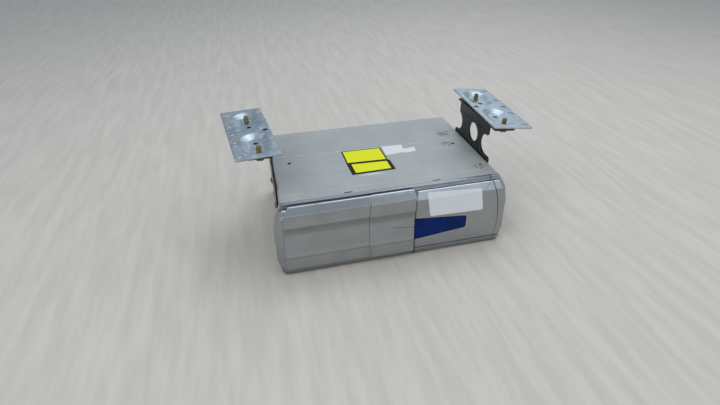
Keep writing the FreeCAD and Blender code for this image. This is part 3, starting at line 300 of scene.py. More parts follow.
def silver_moulding():
    """Silver-grey painted plastic: a fine metal flake under a satin skin, with painted shade and
    highlights over the door and bezel.
    """
    f = Finish("silver_moulding", Metallic=0.8, IOR=1.5, Coat_Roughness=0.3)
    flake = f.noise(0.35, 1.0)
    cloud = f.noise(25.0, 3.0)
    smear = f.noise(12.0, 4.0, 0.6, (0.3, 1.0, 1.0), 3.0)
    marks = f.scratches(1.2, 0.6, 0.2)
    along, depth, height = (f.axis(k) for k in range(3))
    # The door stands before the bezel's leaning face
    upright = depth + (CHAMFER_FOOT - height) * (BEZEL_LEAN / CHAMFER_FOOT)
    on_door = upright.under(BEZEL_Y - 1.4, BEZEL_Y - 0.6)
    on_bezel = 1.0 - on_door
    # Across the door: painted shade in a hollow, painted shade along a crease with a painted
    # highlight band over it, and a crack. A band is given by the heights where it starts, is full,
    # fades and ends
    hollow_shade_band, highlight_band, crease_z = (54.5, 58.0, 65.6, 66.8), (26.5, 28.0, 29.0, 35.0), 25.3
    crack_z, crack_fall, crack_start = 46.1, 0.125, (-8.0, -5.0)
    hollow_shade = height.within(*hollow_shade_band) * (0.35 + cloud * 0.6)
    crease = thin_line(height - crease_z, 1.7)
    pale_highlight = height.within(*highlight_band) * on_door
    crack = thin_line(height - crack_z + along * crack_fall, 1.3) * along.over(*crack_start)
    # dark: painted shade in the hollow and along the crease, and the crack's own dark line
    dark = (crease * 0.9).most(crack).most(hollow_shade * 0.6) * on_door
    # Painted shade in the end cap's seam, darker towards its top, and the grip's painted shadow
    # past the door's end
    seam_shade = thin_line(along - bowed(height, CAP_SEAM), 1.5) * (0.4 + height.over(30.0, 55.0) * 0.6)
    past = along - bowed(height, DOOR_END)
    ahead = depth.under(-96.4, -95.6)
    widening, shadow_edge = 2.0, (2.2, 4.4)
    beside = past - height.over(CHAMFER_FOOT, 90.0) * widening
    shadow = past.over(-1.0, 0.0) * beside.under(*shadow_edge) * on_bezel * ahead
    # A knock on the chamfer's right end
    knock_x, knock_slant = 108.0, 0.9
    knock = along - knock_x - (height - CHAMFER_FOOT) * knock_slant
    knock = thin_line(knock, 1.1) * height.over(74.0, 77.0)
    # A painted highlight along the lit lip at the top, and painted shade in the gap and on the
    # hook behind the door's edge
    lip_z, lip_y, lip_width, gap_band = BEZEL_TOP + 0.1, -97.1, 1.9, (-96.3, -95.9, -94.6, -94.3)
    door_top = height.over(84.0, 85.0) * along.under(19.5, 20.5)
    lip_highlight = thin_line(height - lip_z, lip_width) * along.over(20.5, 21.5) * ahead
    lip_highlight = lip_highlight.most(thin_line(depth - lip_y, lip_width) * door_top)
    lip_highlight = lip_highlight * f.noise(30.0, 3.0).over(0.25, 0.5)
    hook_shade = height.over(89.1, 89.3) * depth.over(-96.0, -95.0)
    gap_shade = (depth.within(*gap_band) * door_top).most(hook_shade)
    grime = f.noise(2.4, 2.0).over(0.62, 0.7) * smear.over(0.5, 0.7)
    # lines: painted shade in the seam and the gap, the painted shadow past the door, and the
    # knock's own mark
    lines = (seam_shade * 0.92).most(shadow * 0.75).most(knock * 0.6).most(gap_shade * 0.85)
    base = f.paint((0.59, 0.60, 0.60),
                   (cloud.over(0.3, 0.7), (0.625, 0.63, 0.628)),
                   # Painted highlight in the band over the crease, then painted shade in the
                   # hollow and crease, with the crack
                   (pale_highlight * 0.3, (0.70, 0.71, 0.715)),
                   (dark, (0.35, 0.355, 0.345)),
                   # Painted shade along the bezel's foot
                   (height.under(2.0, 15.0) * on_bezel * 0.6, (0.30, 0.30, 0.295)),
                   (flake.over(0.4, 0.7) * 0.25, (0.74, 0.755, 0.77)),
                   (marks * 0.3, (0.42, 0.42, 0.42)),
                   (grime * 0.4, (0.36, 0.34, 0.31)),
                   # Painted highlight on the edges and along the lip
                   ((f.edge(0.8) * 0.7).most(lip_highlight * 0.9), (0.95, 0.97, 1.0)),
                   # Painted shade and shadow in the seam, the gap and beside the door, and the
                   # knock's mark
                   (lines, (0.13, 0.14, 0.15)))
    return f.wear(Base_Color=base, Roughness=0.25 + smear * 0.12 + flake * 0.05,
                  Coat_Weight=0.1 + smear * 0.1,
                  Normal=f.height(flake * 0.4 - marks * 0.5, 0.12, 0.05, 0.8))


def blue_moulding():
    """Deep blue glossy plastic of the number panel, with painted shade along its rounded border.
    """
    f = Finish("blue_moulding", IOR=1.45, Specular_IOR_Level=0.12, Coat_Roughness=0.12)
    cloud = f.noise(14.0, 3.0)
    dust = f.noise(0.7, 2.0).over(0.66, 0.74)
    # How far inside the panel's border a place lies, with its corners rounded
    right, height = PANEL_RIGHT - f.axis(0), f.axis(2) - PANEL_MIDDLE
    side = PANEL_HALF + right * PANEL_FLARE - abs(height)
    corner = (((PANEL_CORNER - right).most(0.0) ** 2.0
               + (PANEL_CORNER - side).most(0.0) ** 2.0) ** 0.5)
    inward = PANEL_CORNER - corner
    base = f.paint((0.0, 0.12, 0.35),
                   (cloud.over(0.3, 0.7), (0.0, 0.145, 0.40)),
                   (dust * 0.12, (0.35, 0.42, 0.56)),
                   # Painted shade along the panel's border
                   (inward.under(0.7, 1.7) * 0.85, (0.01, 0.03, 0.10)),
                   (inward.under(-0.25, 0.15), (0.40, 0.41, 0.41)))
    return f.wear(Base_Color=base, Roughness=0.22 + cloud * 0.12, Coat_Weight=cloud * 0.06,
                  Normal=f.height(f.noise(1.2, 2.0), 0.06, 0.05, 0.3))


def black_enamel():
    """Black enamelled steel of the brackets, chipped on its edges."""
    f = Finish("black_enamel", IOR=1.5, Specular_IOR_Level=0.35, Coat_Roughness=0.18)
    peel = f.noise(1.6, 2.0)
    chips = f.edge(0.6) * f.noise(3.0, 3.0).over(0.45, 0.6)
    dusty = f.noise(9.0, 4.0, 0.65).over(0.52, 0.75)
    base = f.paint((0.03, 0.034, 0.05),
                   (f.noise(18.0, 3.0).over(0.3, 0.7), (0.06, 0.064, 0.08)),
                   (dusty * 0.08, (0.36, 0.36, 0.37)),
                   (chips * 0.8, (0.50, 0.42, 0.33)))
    return f.wear(Base_Color=base, Metallic=chips * 0.4, Coat_Weight=0.15 - dusty * 0.1,
                  Roughness=0.3 + dusty * 0.25 + chips * 0.2,
                  Normal=f.height(peel * 0.6 - chips, 0.2, 0.08, 0.4))


def zinc_coat():
    """Zinc-plated sheet: bluish and mottled, with white bloom, dull scuffs and a little rust."""
    f = Finish("zinc_coat", IOR=1.5)
    cloud = f.noise(16.0, 5.0, 0.6)
    fine = f.noise(0.8, 3.0)
    scuff = f.scratches(1.4, 0.45, 0.9).most(f.scratches(1.0, 0.5, 2.3))
    bloom = f.noise(7.0, 5.0, 0.65, offset=5.0).over(0.5, 0.72)
    rust = f.noise(2.6, 3.0, 0.6, offset=9.0).over(0.66, 0.74) * f.noise(22.0, 2.0).over(0.5, 0.6)
    base = f.paint((0.62, 0.67, 0.70),
                   (cloud.over(0.3, 0.7), (0.72, 0.75, 0.76)),
                   (f.cells(5.0) * 0.2, (0.52, 0.59, 0.64)),
                   (bloom * 0.4, (0.86, 0.87, 0.86)),
                   (scuff * 0.5, (0.90, 0.91, 0.92)),
                   # Darker edges: painted shade on the sheet's cut edges
                   (f.edge(0.4) * 0.6, (0.45, 0.47, 0.48)),
                   (rust * 0.8, (0.36, 0.26, 0.17)))
    return f.wear(Base_Color=base, Metallic=0.92 - bloom * 0.4 - rust * 0.7,
                  Roughness=0.33 + cloud * 0.12 + bloom * 0.14 + rust * 0.2,
                  Normal=f.height(fine * 0.4 + cloud * 0.3 - scuff * 0.4, 0.2, 0.12, 2.5))


def yellow_passivate():
    """Yellow-passivated steel of the bolts, gone olive."""
    f = Finish("yellow_passivate", IOR=1.5)
    cloud = f.noise(3.0, 4.0, 0.6)
    fine = f.noise(0.6, 2.0)
    base = f.paint((0.53, 0.48, 0.26),
                   (cloud.over(0.35, 0.65), (0.38, 0.33, 0.20)),
                   (fine.over(0.5, 0.7) * 0.35, (0.66, 0.60, 0.40)),
                   (f.edge(0.25) * 0.4, (0.78, 0.73, 0.56)))
    return f.wear(Base_Color=base, Metallic=0.8 - cloud * 0.2, Roughness=0.34 + cloud * 0.2,
                  Normal=f.height(fine, 0.2, 0.05, 0.15))


def rusted_steel():
    """Plain steel screws that have begun to rust."""
    f = Finish("rusted_steel", IOR=1.5)
    cloud = f.noise(1.8, 4.0, 0.65)
    rust = cloud.over(0.42, 0.58)
    base = f.paint((0.55, 0.53, 0.50), (rust, (0.42, 0.25, 0.14)))
    return f.wear(Base_Color=base, Metallic=0.85 - rust * 0.75, Roughness=0.38 + rust * 0.45,
                  Normal=f.height(cloud, 0.5, 0.12, 0.2))


def bright_steel():
    """Turned bright steel, with fine turning lines and a film of oil."""
    f = Finish("bright_steel", IOR=1.5)
    lines = f.noise(0.25, 1.0, 0.5, (1.0, 1.0, 4.0))
    cloud = f.noise(9.0, 3.0)
    base = f.paint((0.80, 0.80, 0.79), (cloud.over(0.35, 0.7), (0.70, 0.705, 0.71)))
    return f.wear(Base_Color=base, Metallic=0.95 - cloud * 0.1, Roughness=0.18 + lines * 0.16,
                  Normal=f.height(lines, 0.12, 0.03, 0.2))


def galvanised_sheet():
    """Galvanised sheet with its crystals, for the parts inside and the back."""
    f = Finish("galvanised_sheet", IOR=1.5)
    crystals = f.cells(6.0)
    fine = f.noise(0.7, 3.0)
    cloud = f.noise(22.0, 4.0)
    base = f.paint((0.70, 0.72, 0.73),
                   (crystals * 0.5, (0.58, 0.61, 0.63)),
                   (cloud.over(0.5, 0.75) * 0.3, (0.80, 0.80, 0.79)),
                   (f.edge(0.3) * 0.5, (0.86, 0.87, 0.87)))
    return f.wear(Base_Color=base, Metallic=0.8 - cloud * 0.2,
                  Roughness=0.30 + crystals * 0.14 + fine * 0.08,
                  Normal=f.height(fine * 0.5 + crystals * 0.3, 0.2, 0.08, 0.3))


def moulding(name, dark, light, rough):
    """Plain moulded plastic with the fine grain of its tool, paler on its edges."""
    f = Finish(name, IOR=1.5)
    tooth = f.noise(0.45, 2.0)
    paler = tuple(min(1.0, c * 1.5 + 0.05) for c in light)
    base = f.paint(dark,
                   (f.noise(15.0, 3.0).over(0.3, 0.7), light),
                   (f.scratches(1.0, 0.6, 0.7) * 0.25, (0.55, 0.55, 0.55)),
                   (f.edge(0.3) * 0.3, paler))
    return f.wear(Base_Color=base, Roughness=rough + tooth * 0.12,
                  Normal=f.height(tooth, 0.25, 0.05, 0.3))


def felt():
    """Short black felt."""
    f = Finish("felt", IOR=1.4, Sheen_Weight=0.5, Sheen_Roughness=0.6)
    hair = f.noise(0.35, 3.0, 0.7, (1.0, 1.0, 0.4))
    base = f.paint((0.04, 0.04, 0.045), (hair, (0.15, 0.15, 0.155)))
    return f.wear(Base_Color=base, Roughness=0.85 + hair * 0.1,
                  Normal=f.height(hair, 0.8, 0.25))


def soft_rubber():
    """Black rubber of the dampers, with a dull bloom."""
    f = Finish("soft_rubber", IOR=1.45)
    bloom = f.noise(3.0, 4.0)
    base = f.paint((0.07, 0.07, 0.072), (bloom.over(0.4, 0.7), (0.17, 0.17, 0.17)))
    return f.wear(Base_Color=base, Roughness=0.62 + bloom * 0.2,
                  Normal=f.height(f.noise(0.8, 2.0), 0.3, 0.08, 0.3))


def board_laminate():
    """Green lacquered board with its copper tracks, and the black resin of its large chips."""
    f = Finish("board_laminate", IOR=1.5, Coat_Roughness=0.2)
    bands = f.node("ShaderNodeTexBrick", {"offset": 0.35},
                   {"Vector": f.vector("MULTIPLY", f.place, (1.0, 0.0, 1.0)), "Scale": 160.0,
                    "Mortar Size": 0.012, "Color1": (0.0, 0.0, 0.0),
                    "Color2": (0.35, 0.35, 0.35), "Mortar": (1.0, 1.0, 1.0)})
    track = f.node("ShaderNodeSeparateColor", {}, {0: bands}, "Red")
    chip = f.axis(1).under(BOARD_Y - 0.5, BOARD_Y - 0.2)
    resin = f.paint((0.10, 0.10, 0.105), (f.noise(0.6, 2.0), (0.16, 0.16, 0.165)))
    base = f.paint((0.05, 0.32, 0.16), (track, (0.09, 0.42, 0.20)), (chip, resin))
    return f.wear(Base_Color=base, Roughness=0.3 + track * 0.1 + chip * 0.25,
                  Coat_Weight=(1.0 - chip) * (0.3 + track * 0.1),
                  Normal=f.height(track, 0.3, 0.06, 0.2))


def printed_paper(name, paper):
    """A stuck-on paper label, slightly creased and stained."""
    f = Finish(name, IOR=1.45, Specular_IOR_Level=0.2)
    fibre = f.noise(0.8, 3.0)
    crease = f.noise(14.0, 3.0, 0.6)
    stain = f.noise(6.0, 4.0, 0.6, offset=2.0).over(0.58, 0.75)
    base = f.paint(paper,
                   (fibre.over(0.3, 0.7), tuple(c * 0.94 for c in paper)),
                   (stain * 0.25, tuple(c * 0.8 for c in paper)))
    return f.wear(Base_Color=base, Roughness=0.32 + fibre * 0.2,
                  Normal=f.height(crease + fibre * 0.1, 0.3, 0.15))


def lens_glass():
    """Coated glass of the pickup's lens: dark, with a violet sheen."""
    f = Finish("lens_glass", IOR=1.7, Coat_Roughness=0.02)
    haze = f.noise(1.2, 3.0)
    base = f.paint((0.10, 0.08, 0.22), (haze.over(0.3, 0.7), (0.16, 0.12, 0.34)))
    return f.wear(Base_Color=base, Roughness=0.05 + haze * 0.05, Coat_Weight=0.8 - haze * 0.1,
                  Normal=f.height(haze, 0.02, 0.02))


def pale_floor():
    """A plain pale floor with a soft wavering grain."""
    f = Finish("pale_floor", IOR=1.45)
    grain = f.noise(14.0, 5.0, 0.6, (1.0, 0.12, 1.0))
    base = f.paint((0.785, 0.755, 0.705), (grain.over(0.3, 0.7), (0.83, 0.795, 0.745)))
    return f.wear(Base_Color=base, Roughness=0.6 + grain * 0.15,
                  Normal=f.height(grain, 0.05, 0.2))


FINISH = {
    "casing_sheet": coated_sheet(), "silver_plastic": silver_moulding(),
    "blue_plastic": blue_moulding(), "black_felt": felt(), "black_steel": black_enamel(),
    "zinc_plate": zinc_coat(), "yellow_zinc": yellow_passivate(),
    "bright_steel": bright_steel(), "rubber": soft_rubber(),
    "galvanised": galvanised_sheet(), "green_board": board_laminate(),
    "rusted_steel": rusted_steel(), "lens": lens_glass(),
    "black_plastic": moulding("black_moulding", (0.11, 0.11, 0.115), (0.16, 0.16, 0.165), 0.42),
    "tray_plastic": moulding("tray_moulding", (0.20, 0.205, 0.215), (0.25, 0.255, 0.265), 0.38),
    "white_plastic": moulding("white_moulding", (0.80, 0.79, 0.75), (0.86, 0.85, 0.82), 0.35),
    "yellow_label": printed_paper("yellow_label", (0.93, 0.93, 0.03)),
    "black_ink": printed_paper("black_ink", (0.055, 0.06, 0.055)),
    "white_label": printed_paper("white_label", (0.90, 0.90, 0.895)),
}


def dress_nodes():
    """Give every solid the finish of its material slot."""
    slots = {piece["node"]: piece["material_slot"] for piece in frame["record"]["subparts"]}
    for name, solid in frame["nodes"].items():
        solid.data.materials.clear()
        solid.data.materials.append(FINISH[slots[name]])


# Making pieces

def plain_mesh(name, bm):
    """A bmesh in millimetres as a mesh in metres, facing outward."""
    mesh = bpy.data.meshes.new(name)
    bmesh.ops.recalc_face_normals(bm, faces=bm.faces)
    bm.to_mesh(mesh)
    bm.free()
    mesh.transform(Matrix.Scale(MM, 4))
    return mesh


def stand(name, data):
    """A new object in the scene."""
    made = bpy.data.objects.new(name, data)
    bpy.context.scene.collection.objects.link(made)
    return made


def place(name, mesh, body):
    """A finished mesh as a piece that rides on a body."""
    piece = stand(name, mesh)
    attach(piece, body)
    return piece


def keep(name, bm, finish, body, smooth=False):
    """Turn a bmesh in millimetres into a finished piece that rides on a body."""
    mesh = plain_mesh(name, bm)
    mesh.materials.append(FINISH[finish])
    if smooth:
        mesh.shade_smooth()
    return place(name, mesh, body)


def around(radius, k, count):
    """The place of one of a number of points spread round a circle."""
    angle = 2 * math.pi * k / count
    return radius * math.cos(angle), radius * math.sin(angle)


def ring(bm, radius, z, sides):
    """A closed ring of vertices about the Z axis."""
    return [bm.verts.new((*around(radius, k, sides), z)) for k in range(sides)]


def band(bm, low, high):
    """Faces between one closed loop of vertices and the next."""
    for k in range(len(low)):
        n = (k + 1) % len(low)
        bm.faces.new((low[k], low[n], high[n], high[k]))


def skin(bm, loops):
    """Faces between one loop and the next, and over both ends."""
    for low, high in zip(loops, loops[1:]):
        band(bm, low, high)
    bm.faces.new(loops[0][::-1])
    bm.faces.new(loops[-1])


def turned(bm, profile, sides):
    """A turned form from (radius, z) pairs."""
    skin(bm, [ring(bm, r, z, sides) for r, z in profile])


def block(long, wide, tall):
    """A small block standing on its underside."""
    bm = bmesh.new()
    corners = ((-1, -1), (1, -1), (1, 1), (-1, 1))
    skin(bm, [[bm.verts.new((x * long / 2, y * wide / 2, z)) for x, y in corners]
              for z in (0.0, tall)])
    return bm


# Geometry Nodes

def start_tree(name, **inputs):
    """A tree with named inputs, and the node that gives them."""
    tree = bpy.data.node_groups.new(name, "GeometryNodeTree")
    for title, kind in inputs.items():
        tree.interface.new_socket(title, in_out="INPUT", socket_type=f"NodeSocket{kind}")
    tree.interface.new_socket("Result", in_out="OUTPUT", socket_type="NodeSocketGeometry")
    return tree, tree.nodes.new("NodeGroupInput")


def join(tree, *links):
    """Link nodes: the one that gives, its output, the one that takes, its input."""
    for giver, output, taker, socket in links:
        tree.links.new(giver.outputs[output], taker.inputs[socket])


def end_tree(tree, start, last, output):
    """The close of each tree: plain geometry in its finish."""
    real = tree.nodes.new("GeometryNodeRealizeInstances")
    paint = tree.nodes.new("GeometryNodeSetMaterial")
    end = tree.nodes.new("NodeGroupOutput")
    join(tree, (last, output, real, "Geometry"), (real, "Geometry", paint, "Geometry"),
         (start, "Finish", paint, "Material"), (paint, "Geometry", end, "Result"))
    return tree


def repeat_tree():
    """One piece repeated on points, turned to face along each point's own way."""
    tree, start = start_tree("repeat_on_points", Points="Geometry", Piece="Object",
                             Size="Float", Finish="Material")
    info = tree.nodes.new("GeometryNodeObjectInfo")
    way = tree.nodes.new("GeometryNodeInputNamedAttribute")
    way.data_type = "FLOAT_VECTOR"
    way.inputs["Name"].default_value = "facing"
    turn = tree.nodes.new("FunctionNodeAlignRotationToVector")
    turn.axis = "Z"
    put = tree.nodes.new("GeometryNodeInstanceOnPoints")
    join(tree, (start, "Piece", info, "Object"), (way, "Attribute", turn, "Vector"),
         (start, "Points", put, "Points"), (info, "Geometry", put, "Instance"),
         (turn, "Rotation", put, "Rotation"), (start, "Size", put, "Scale"))
    return end_tree(tree, start, put, "Instances")


def wire_tree():
    """A round wire along a line of points."""
    tree, start = start_tree("wire_on_line", Line="Geometry", Radius="Float", Sides="Int",
                             Finish="Material")
    line = tree.nodes.new("GeometryNodeMeshToCurve")
    section = tree.nodes.new("GeometryNodeCurvePrimitiveCircle")
    wire = tree.nodes.new("GeometryNodeCurveToMesh")
    wire.inputs["Fill Caps"].default_value = True
    join(tree, (start, "Line", line, "Mesh"), (start, "Radius", section, "Radius"),
         (start, "Sides", section, "Resolution"), (line, "Curve", wire, "Curve"),
         (section, "Curve", wire, "Profile Curve"))
    return end_tree(tree, start, wire, "Mesh")


def grown(name, tree, carrier, inputs):
    """Run a tree on a carrier mesh and return the plain mesh that it makes."""
    ground = stand(f"{name}_carrier", carrier)
    modifier = ground.modifiers.new("grow", "NODES")
    modifier.node_group = tree
    ids = {item.name: item.identifier for item in tree.interface.items_tree
           if item.in_out == "INPUT"}
    for key, value in inputs.items():
        modifier[ids[key]] = value
    shown = ground.evaluated_get(bpy.context.evaluated_depsgraph_get())
    mesh = bpy.data.meshes.new_from_object(shown)
    bpy.data.objects.remove(ground)
    mesh.name = name
    return mesh


REPEAT, WIRE = repeat_tree(), wire_tree()


def set_out(name, one, points, finish, body="casing", size=1.0):
    """Repeat one small mesh as a piece: points in millimetres, each with the way it faces."""
    carrier = bpy.data.meshes.new("points")
    carrier.from_pydata([Vector(spot) * MM for spot, way in points], [], [])
    facing = carrier.attributes.new("facing", "FLOAT_VECTOR", "POINT")
    for item, (spot, way) in zip(facing.data, points):
        item.vector = way
    stamp = stand("stamp", one)
    made = grown(name, REPEAT, carrier, {"Piece": stamp, "Size": size, "Finish": FINISH[finish]})
    bpy.data.objects.remove(stamp)
    return place(name, made, body)


def wind(name, points, radius, finish, body):
    """A wire through points in millimetres, as a piece."""
    line = bpy.data.meshes.new("line")
    line.from_pydata([Vector(spot) * MM for spot in points],
                     [(k, k + 1) for k in range(len(points) - 1)], [])
    made = grown(name, WIRE, line, {"Radius": radius * MM, "Sides": 8, "Finish": FINISH[finish]})
    return place(name, made, body)


# Bolts, screws and lead screws

def on_plate(side, u, v, z):
    """A point by its place on a mounting plate: u outward, v to the back, z before the droop."""
    turn = math.radians(-PLATE_TURN["left"] if side == "left" else PLATE_TURN["right"])
    x = PLATE_INNER_X + u * math.cos(turn) - v * math.sin(turn)
    y = PLATE_CENTRE_Y + u * math.sin(turn) + v * math.cos(turn)
    tilt = math.radians(PLATE_TILT[side])
    dx, dz = x - SIDE_X - BRACKET_SHEET, z - BRACKET_HEIGHT
    x = SIDE_X + BRACKET_SHEET + dx * math.cos(tilt) + dz * math.sin(tilt)
    z = BRACKET_HEIGHT - dx * math.sin(tilt) + dz * math.cos(tilt)
    return Vector((-x if side == "left" else x, y, z))


def threaded_bolt():
    """A flange bolt, head down, its seat at zero: hexagon, collar, and a shank with its thread."""
    bm = bmesh.new()
    hexagon = ((4.6, -5.0), (5.6, -4.4), (5.6, -1.1))
    collar = ((6.5, 0.0), (6.5, -0.5), (5.7, -1.3))
    turned(bm, hexagon, 6)
    turned(bm, collar, 40)
    top, pitch, root, thread, taper = 11.3, 1.0, 2.55, 0.45, 0.8
    sides, steps = 28, 8
    rings = []
    for k in range(int(top / pitch * steps)):
        z = k * pitch / steps
        crest = root + thread - max(0.0, z - top + pitch) * taper
        row = []
        for s in range(sides):
            rise = abs(2 * ((z / pitch - s / sides) % 1.0) - 1.0)
            row.append(bm.verts.new((*around(min(root + thread * rise, crest), s, sides), z)))
        rings.append(row)
    skin(bm, rings)
    return bm


def make_bolts():
    """Both bolts of each plate, standing square to its flange."""
    seat = BRACKET_HEIGHT - BRACKET_SHEET
    for side, _ in SIDES:
        both = bmesh.new()
        for v in BOLT_V:
            bm = threaded_bolt()
            foot, up = on_plate(side, BOLT_U, v, seat), on_plate(side, BOLT_U, v, seat + 1.0)
            turn = Vector(UPWARD).rotation_difference(up - foot).to_matrix().to_4x4()
            bm.transform(Matrix.Translation(foot) @ turn)
            mesh = bpy.data.meshes.new("one_bolt")
            bm.to_mesh(mesh)
            bm.free()
            both.from_mesh(mesh)
        piece = keep(f"flange_bolts_{side}", both, "yellow_zinc", "casing")
        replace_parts(piece, f"plate_bolts_{side}")


def cross_head(radius, height):
    """A pan head on the XY plane with a cross recess, in millimetres."""
    bm = bmesh.new()
    sides, rows = 48, 12
    arm, reach, depth = 0.16 * radius, 0.62 * radius, 0.55 * height
    dome, wall, lead = 0.75, 0.3 * radius, 0.2

    def top_at(x, y):
        """How high the head stands at a place: its dome, less the recess."""
        z = height * (1.0 - dome * (math.hypot(x, y) / radius) ** 4)
        near, far = sorted((abs(x), abs(y)))
        if near < arm and far < reach:
            z -= depth * min(1.0, (reach - far) / wall + lead)
        return z

    rings = [ring(bm, 0.6 * radius, 0.0, sides), ring(bm, radius, 0.0, sides)]
    for i in range(rows, 0, -1):
        spots = [around(radius * (i / rows), k, sides) for k in range(sides)]
        rings.append([bm.verts.new((x, y, top_at(x, y))) for x, y in spots])
    skin(bm, rings)
    return bm


def make_screws():
    """The cross-head screws of the back, the casing's foot and the brackets."""
    head = plain_mesh("screw_head", cross_head(3.0, 1.5))
    back = [((x, BACK_PANEL_Y, z), BACKWARD) for x in BACK_SCREW_X for z in BACK_SCREW_Z]
    set_out("rear_screw_heads", head, back, "black_steel", size=0.85)
    lid = [((out * SIDE_X, y, LID_SCREW_Z), (out, 0.0, 0.0)) for _, out in SIDES
           for y in LID_SCREW_Y]
    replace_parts(set_out("case_screw_heads", head, lid, "black_steel"), "casing_screws")
    finishes = {"left": "rusted_steel", "right": "black_steel"}
    for side, out in SIDES:
        web = [((out * (SIDE_X + BRACKET_SHEET), y, BRACKET_SCREW_Z), (out, 0.0, 0.0))
               for y in BRACKET_SCREW_Y]
        piece = set_out(f"bracket_screw_heads_{side}", head, web, finishes[side],
                        size=1.33)
        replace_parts(piece, f"bracket_screws_{side}")


def helix(radius, start, length, pitch):
    """Points round the Z axis, rising by a pitch each turn."""
    steps = 20
    return [Vector((*around(radius, k, steps), start + pitch * k / steps))
            for k in range(int(length / pitch * steps) + 1)]


def make_lead_screws():
    """The lift screw and the pickup's screw: a core each, with its thread wound round it."""
    long = SLED_ENDS[1] - SLED_ENDS[0]
    lying = (Matrix.Translation((SLED_ENDS[0], SLED_Y, SLED_Z))
             @ Matrix.Rotation(math.pi / 2, 4, "Y"))
    standing = Matrix.Translation((LIFT_X, LIFT_Y, 0.0))
    neck, core, end = 1.9, 2.34, 2.0
    lift_profile = ((neck, LIFT_FOOT - 1.8), (neck, LIFT_FOOT), (core, LIFT_FOOT),
                    (core, LIFT_TOP - 0.5), (end, LIFT_TOP))
    lift_coil = helix(core - 0.01, LIFT_FOOT + 5.2, 74.0, 2.0)
    neck, core = 0.78, 1.27
    sled_profile = ((neck, -4.0), (neck, 0.0), (core, 0.0), (core, long), (neck, long),
                    (neck, long + 3.0))
    sled_coil = helix(core - 0.01, 1.5, long - 3.0, 1.1)
    screws = (("lift_screw", "lift_drive", standing, lift_profile, lift_coil, 0.25),
              ("sled_screw", "sled_drive", lying, sled_profile, sled_coil, 0.22))
    for name, body, where, profile, coil, radius in screws:
        bm = bmesh.new()
        turned(bm, profile, 24)
        bm.transform(where)
        piece = keep(f"{name}_core", bm, "bright_steel", body)
        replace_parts(piece, name)
        wind(f"{name}_thread", [where @ spot for spot in coil], radius, "bright_steel", body)


# Lens and board

def make_lens():
    """The pickup's lens, turned down to the disc."""
    bm = bmesh.new()
    dome = ((2.1, 0.0), (2.1, -0.3), (1.7, -0.62), (1.1, -0.86), (0.5, -0.97), (0.1, -1.0))
    turned(bm, dome, 28)
    bm.transform(Matrix.Translation((LENS_X, LENS_Y, LENS_Z)))
    keep("pickup_lens", bm, "lens", "sled", smooth=True)


def make_board_parts():
    """Small chip parts over the board, and the legs of its two large chips."""
    # Each as left, right, foot and head: the large chips, and what else takes up room
    chips = ((-60.3, -38.2, 30.0, 52.0), (-8.0, 6.0, 40.0, 54.0))
    taken = chips + ((34.0, 70.5, 66.0, 79.0), (-97.0, -50.0, 65.0, 78.0),
                     (74.0, 96.0, 19.0, 41.0))
    left, foot, width, height = -94.0, 15.0, 188.0, 62.0
    count, across, up, margin = 96, 37.7, 23.3, 4.0
    small = []
    for k in range(count):
        x, z = left + (k * across) % width, foot + (k * up) % height
        if all(not (x0 - margin < x < x1 + margin and z0 - margin < z < z1 + margin)
               for x0, x1, z0, z1 in taken):
            small.append((x, z))
    pitch, reach = 1.6, 0.6
    legs = []
    for x0, x1, z0, z1 in chips:
        for k in range(int((x1 - x0) / pitch)):
            x = x0 + pitch / 2 + pitch * k
            legs += [(x, z0 - reach), (x, z1 + reach)]
        for k in range(int((z1 - z0) / pitch)):
            z = z0 + pitch / 2 + pitch * k
            legs += [(x0 - reach, z), (x1 + reach, z)]
    for name, size, spots, finish in (("chip_parts", (2.0, 1.2, 0.7), small, "black_plastic"),
                                      ("chip_legs", (0.6, 0.9, 0.5), legs, "bright_steel")):
        points = [((x, BOARD_Y, z), FORWARD) for x, z in spots]
        set_out(name, plain_mesh(f"{name}_one", block(*size)), points, finish)


# Labels, print and small marks

def softened(corners, radius, steps=5):
    """A closed outline with its corners rounded."""
    points, count = [], len(corners)
    for i in range(count):
        here = Vector(corners[i])
        start = here + (Vector(corners[i - 1]) - here).normalized() * radius
        end = here + (Vector(corners[(i + 1) % count]) - here).normalized() * radius
        for k in range(steps + 1):
            t = k / steps
            points.append(start * (1 - t) ** 2 + here * 2 * t * (1 - t) + end * t * t)
    return points


def on_top(x, y, lift):
    """A point on the casing's upper face."""
    return x, y, TOP_Z + lift


def on_back(x, z, lift):
    """A point on the rear panel."""
    return x, BACK_PANEL_Y + lift, z


def on_magazine(x, z, lift):
    """A point on the magazine's face."""
    return x, MAGAZINE_Y - lift, z


def on_front(x, z, lift):
    """A point on the bezel's leaning face."""
    lean = BEZEL_LEAN * (CHAMFER_FOOT - z) / CHAMFER_FOOT
    return x, BEZEL_Y - lean - lift, z


def leaf(name, outline, lift, finish, body="casing", spot=on_top):
    """A thin flat label or print on a face, from its outline in millimetres."""
    bm = bmesh.new()
    thick = 0.1
    skin(bm, [[bm.verts.new(spot(a, b, lift + rise)) for a, b in outline]
              for rise in (0.0, thick)])
    return keep(name, bm, finish, body)


def make_magazine_print():
    """An arrow and ten tray marks printed on the magazine's face."""
    arrow = ((-114.0, 48.0), (-108.0, 48.0), (-108.0, 52.0), (-101.0, 44.0), (-108.0, 36.0),
             (-108.0, 40.0), (-114.0, 40.0))
    leaf("magazine_arrow", arrow, 0.02, "white_plastic", "magazine",
         on_magazine)
    mark_x, mark_lift = -14.0, 1.1
    points = [((mark_x, MAGAZINE_Y - 0.02, FIRST_TRAY + TRAY_PITCH * k + mark_lift), FORWARD)
              for k in range(TRAYS)]
    set_out("tray_marks", plain_mesh("tray_mark", block(5.0, 0.7, 0.1)), points,
            "white_plastic", "magazine")


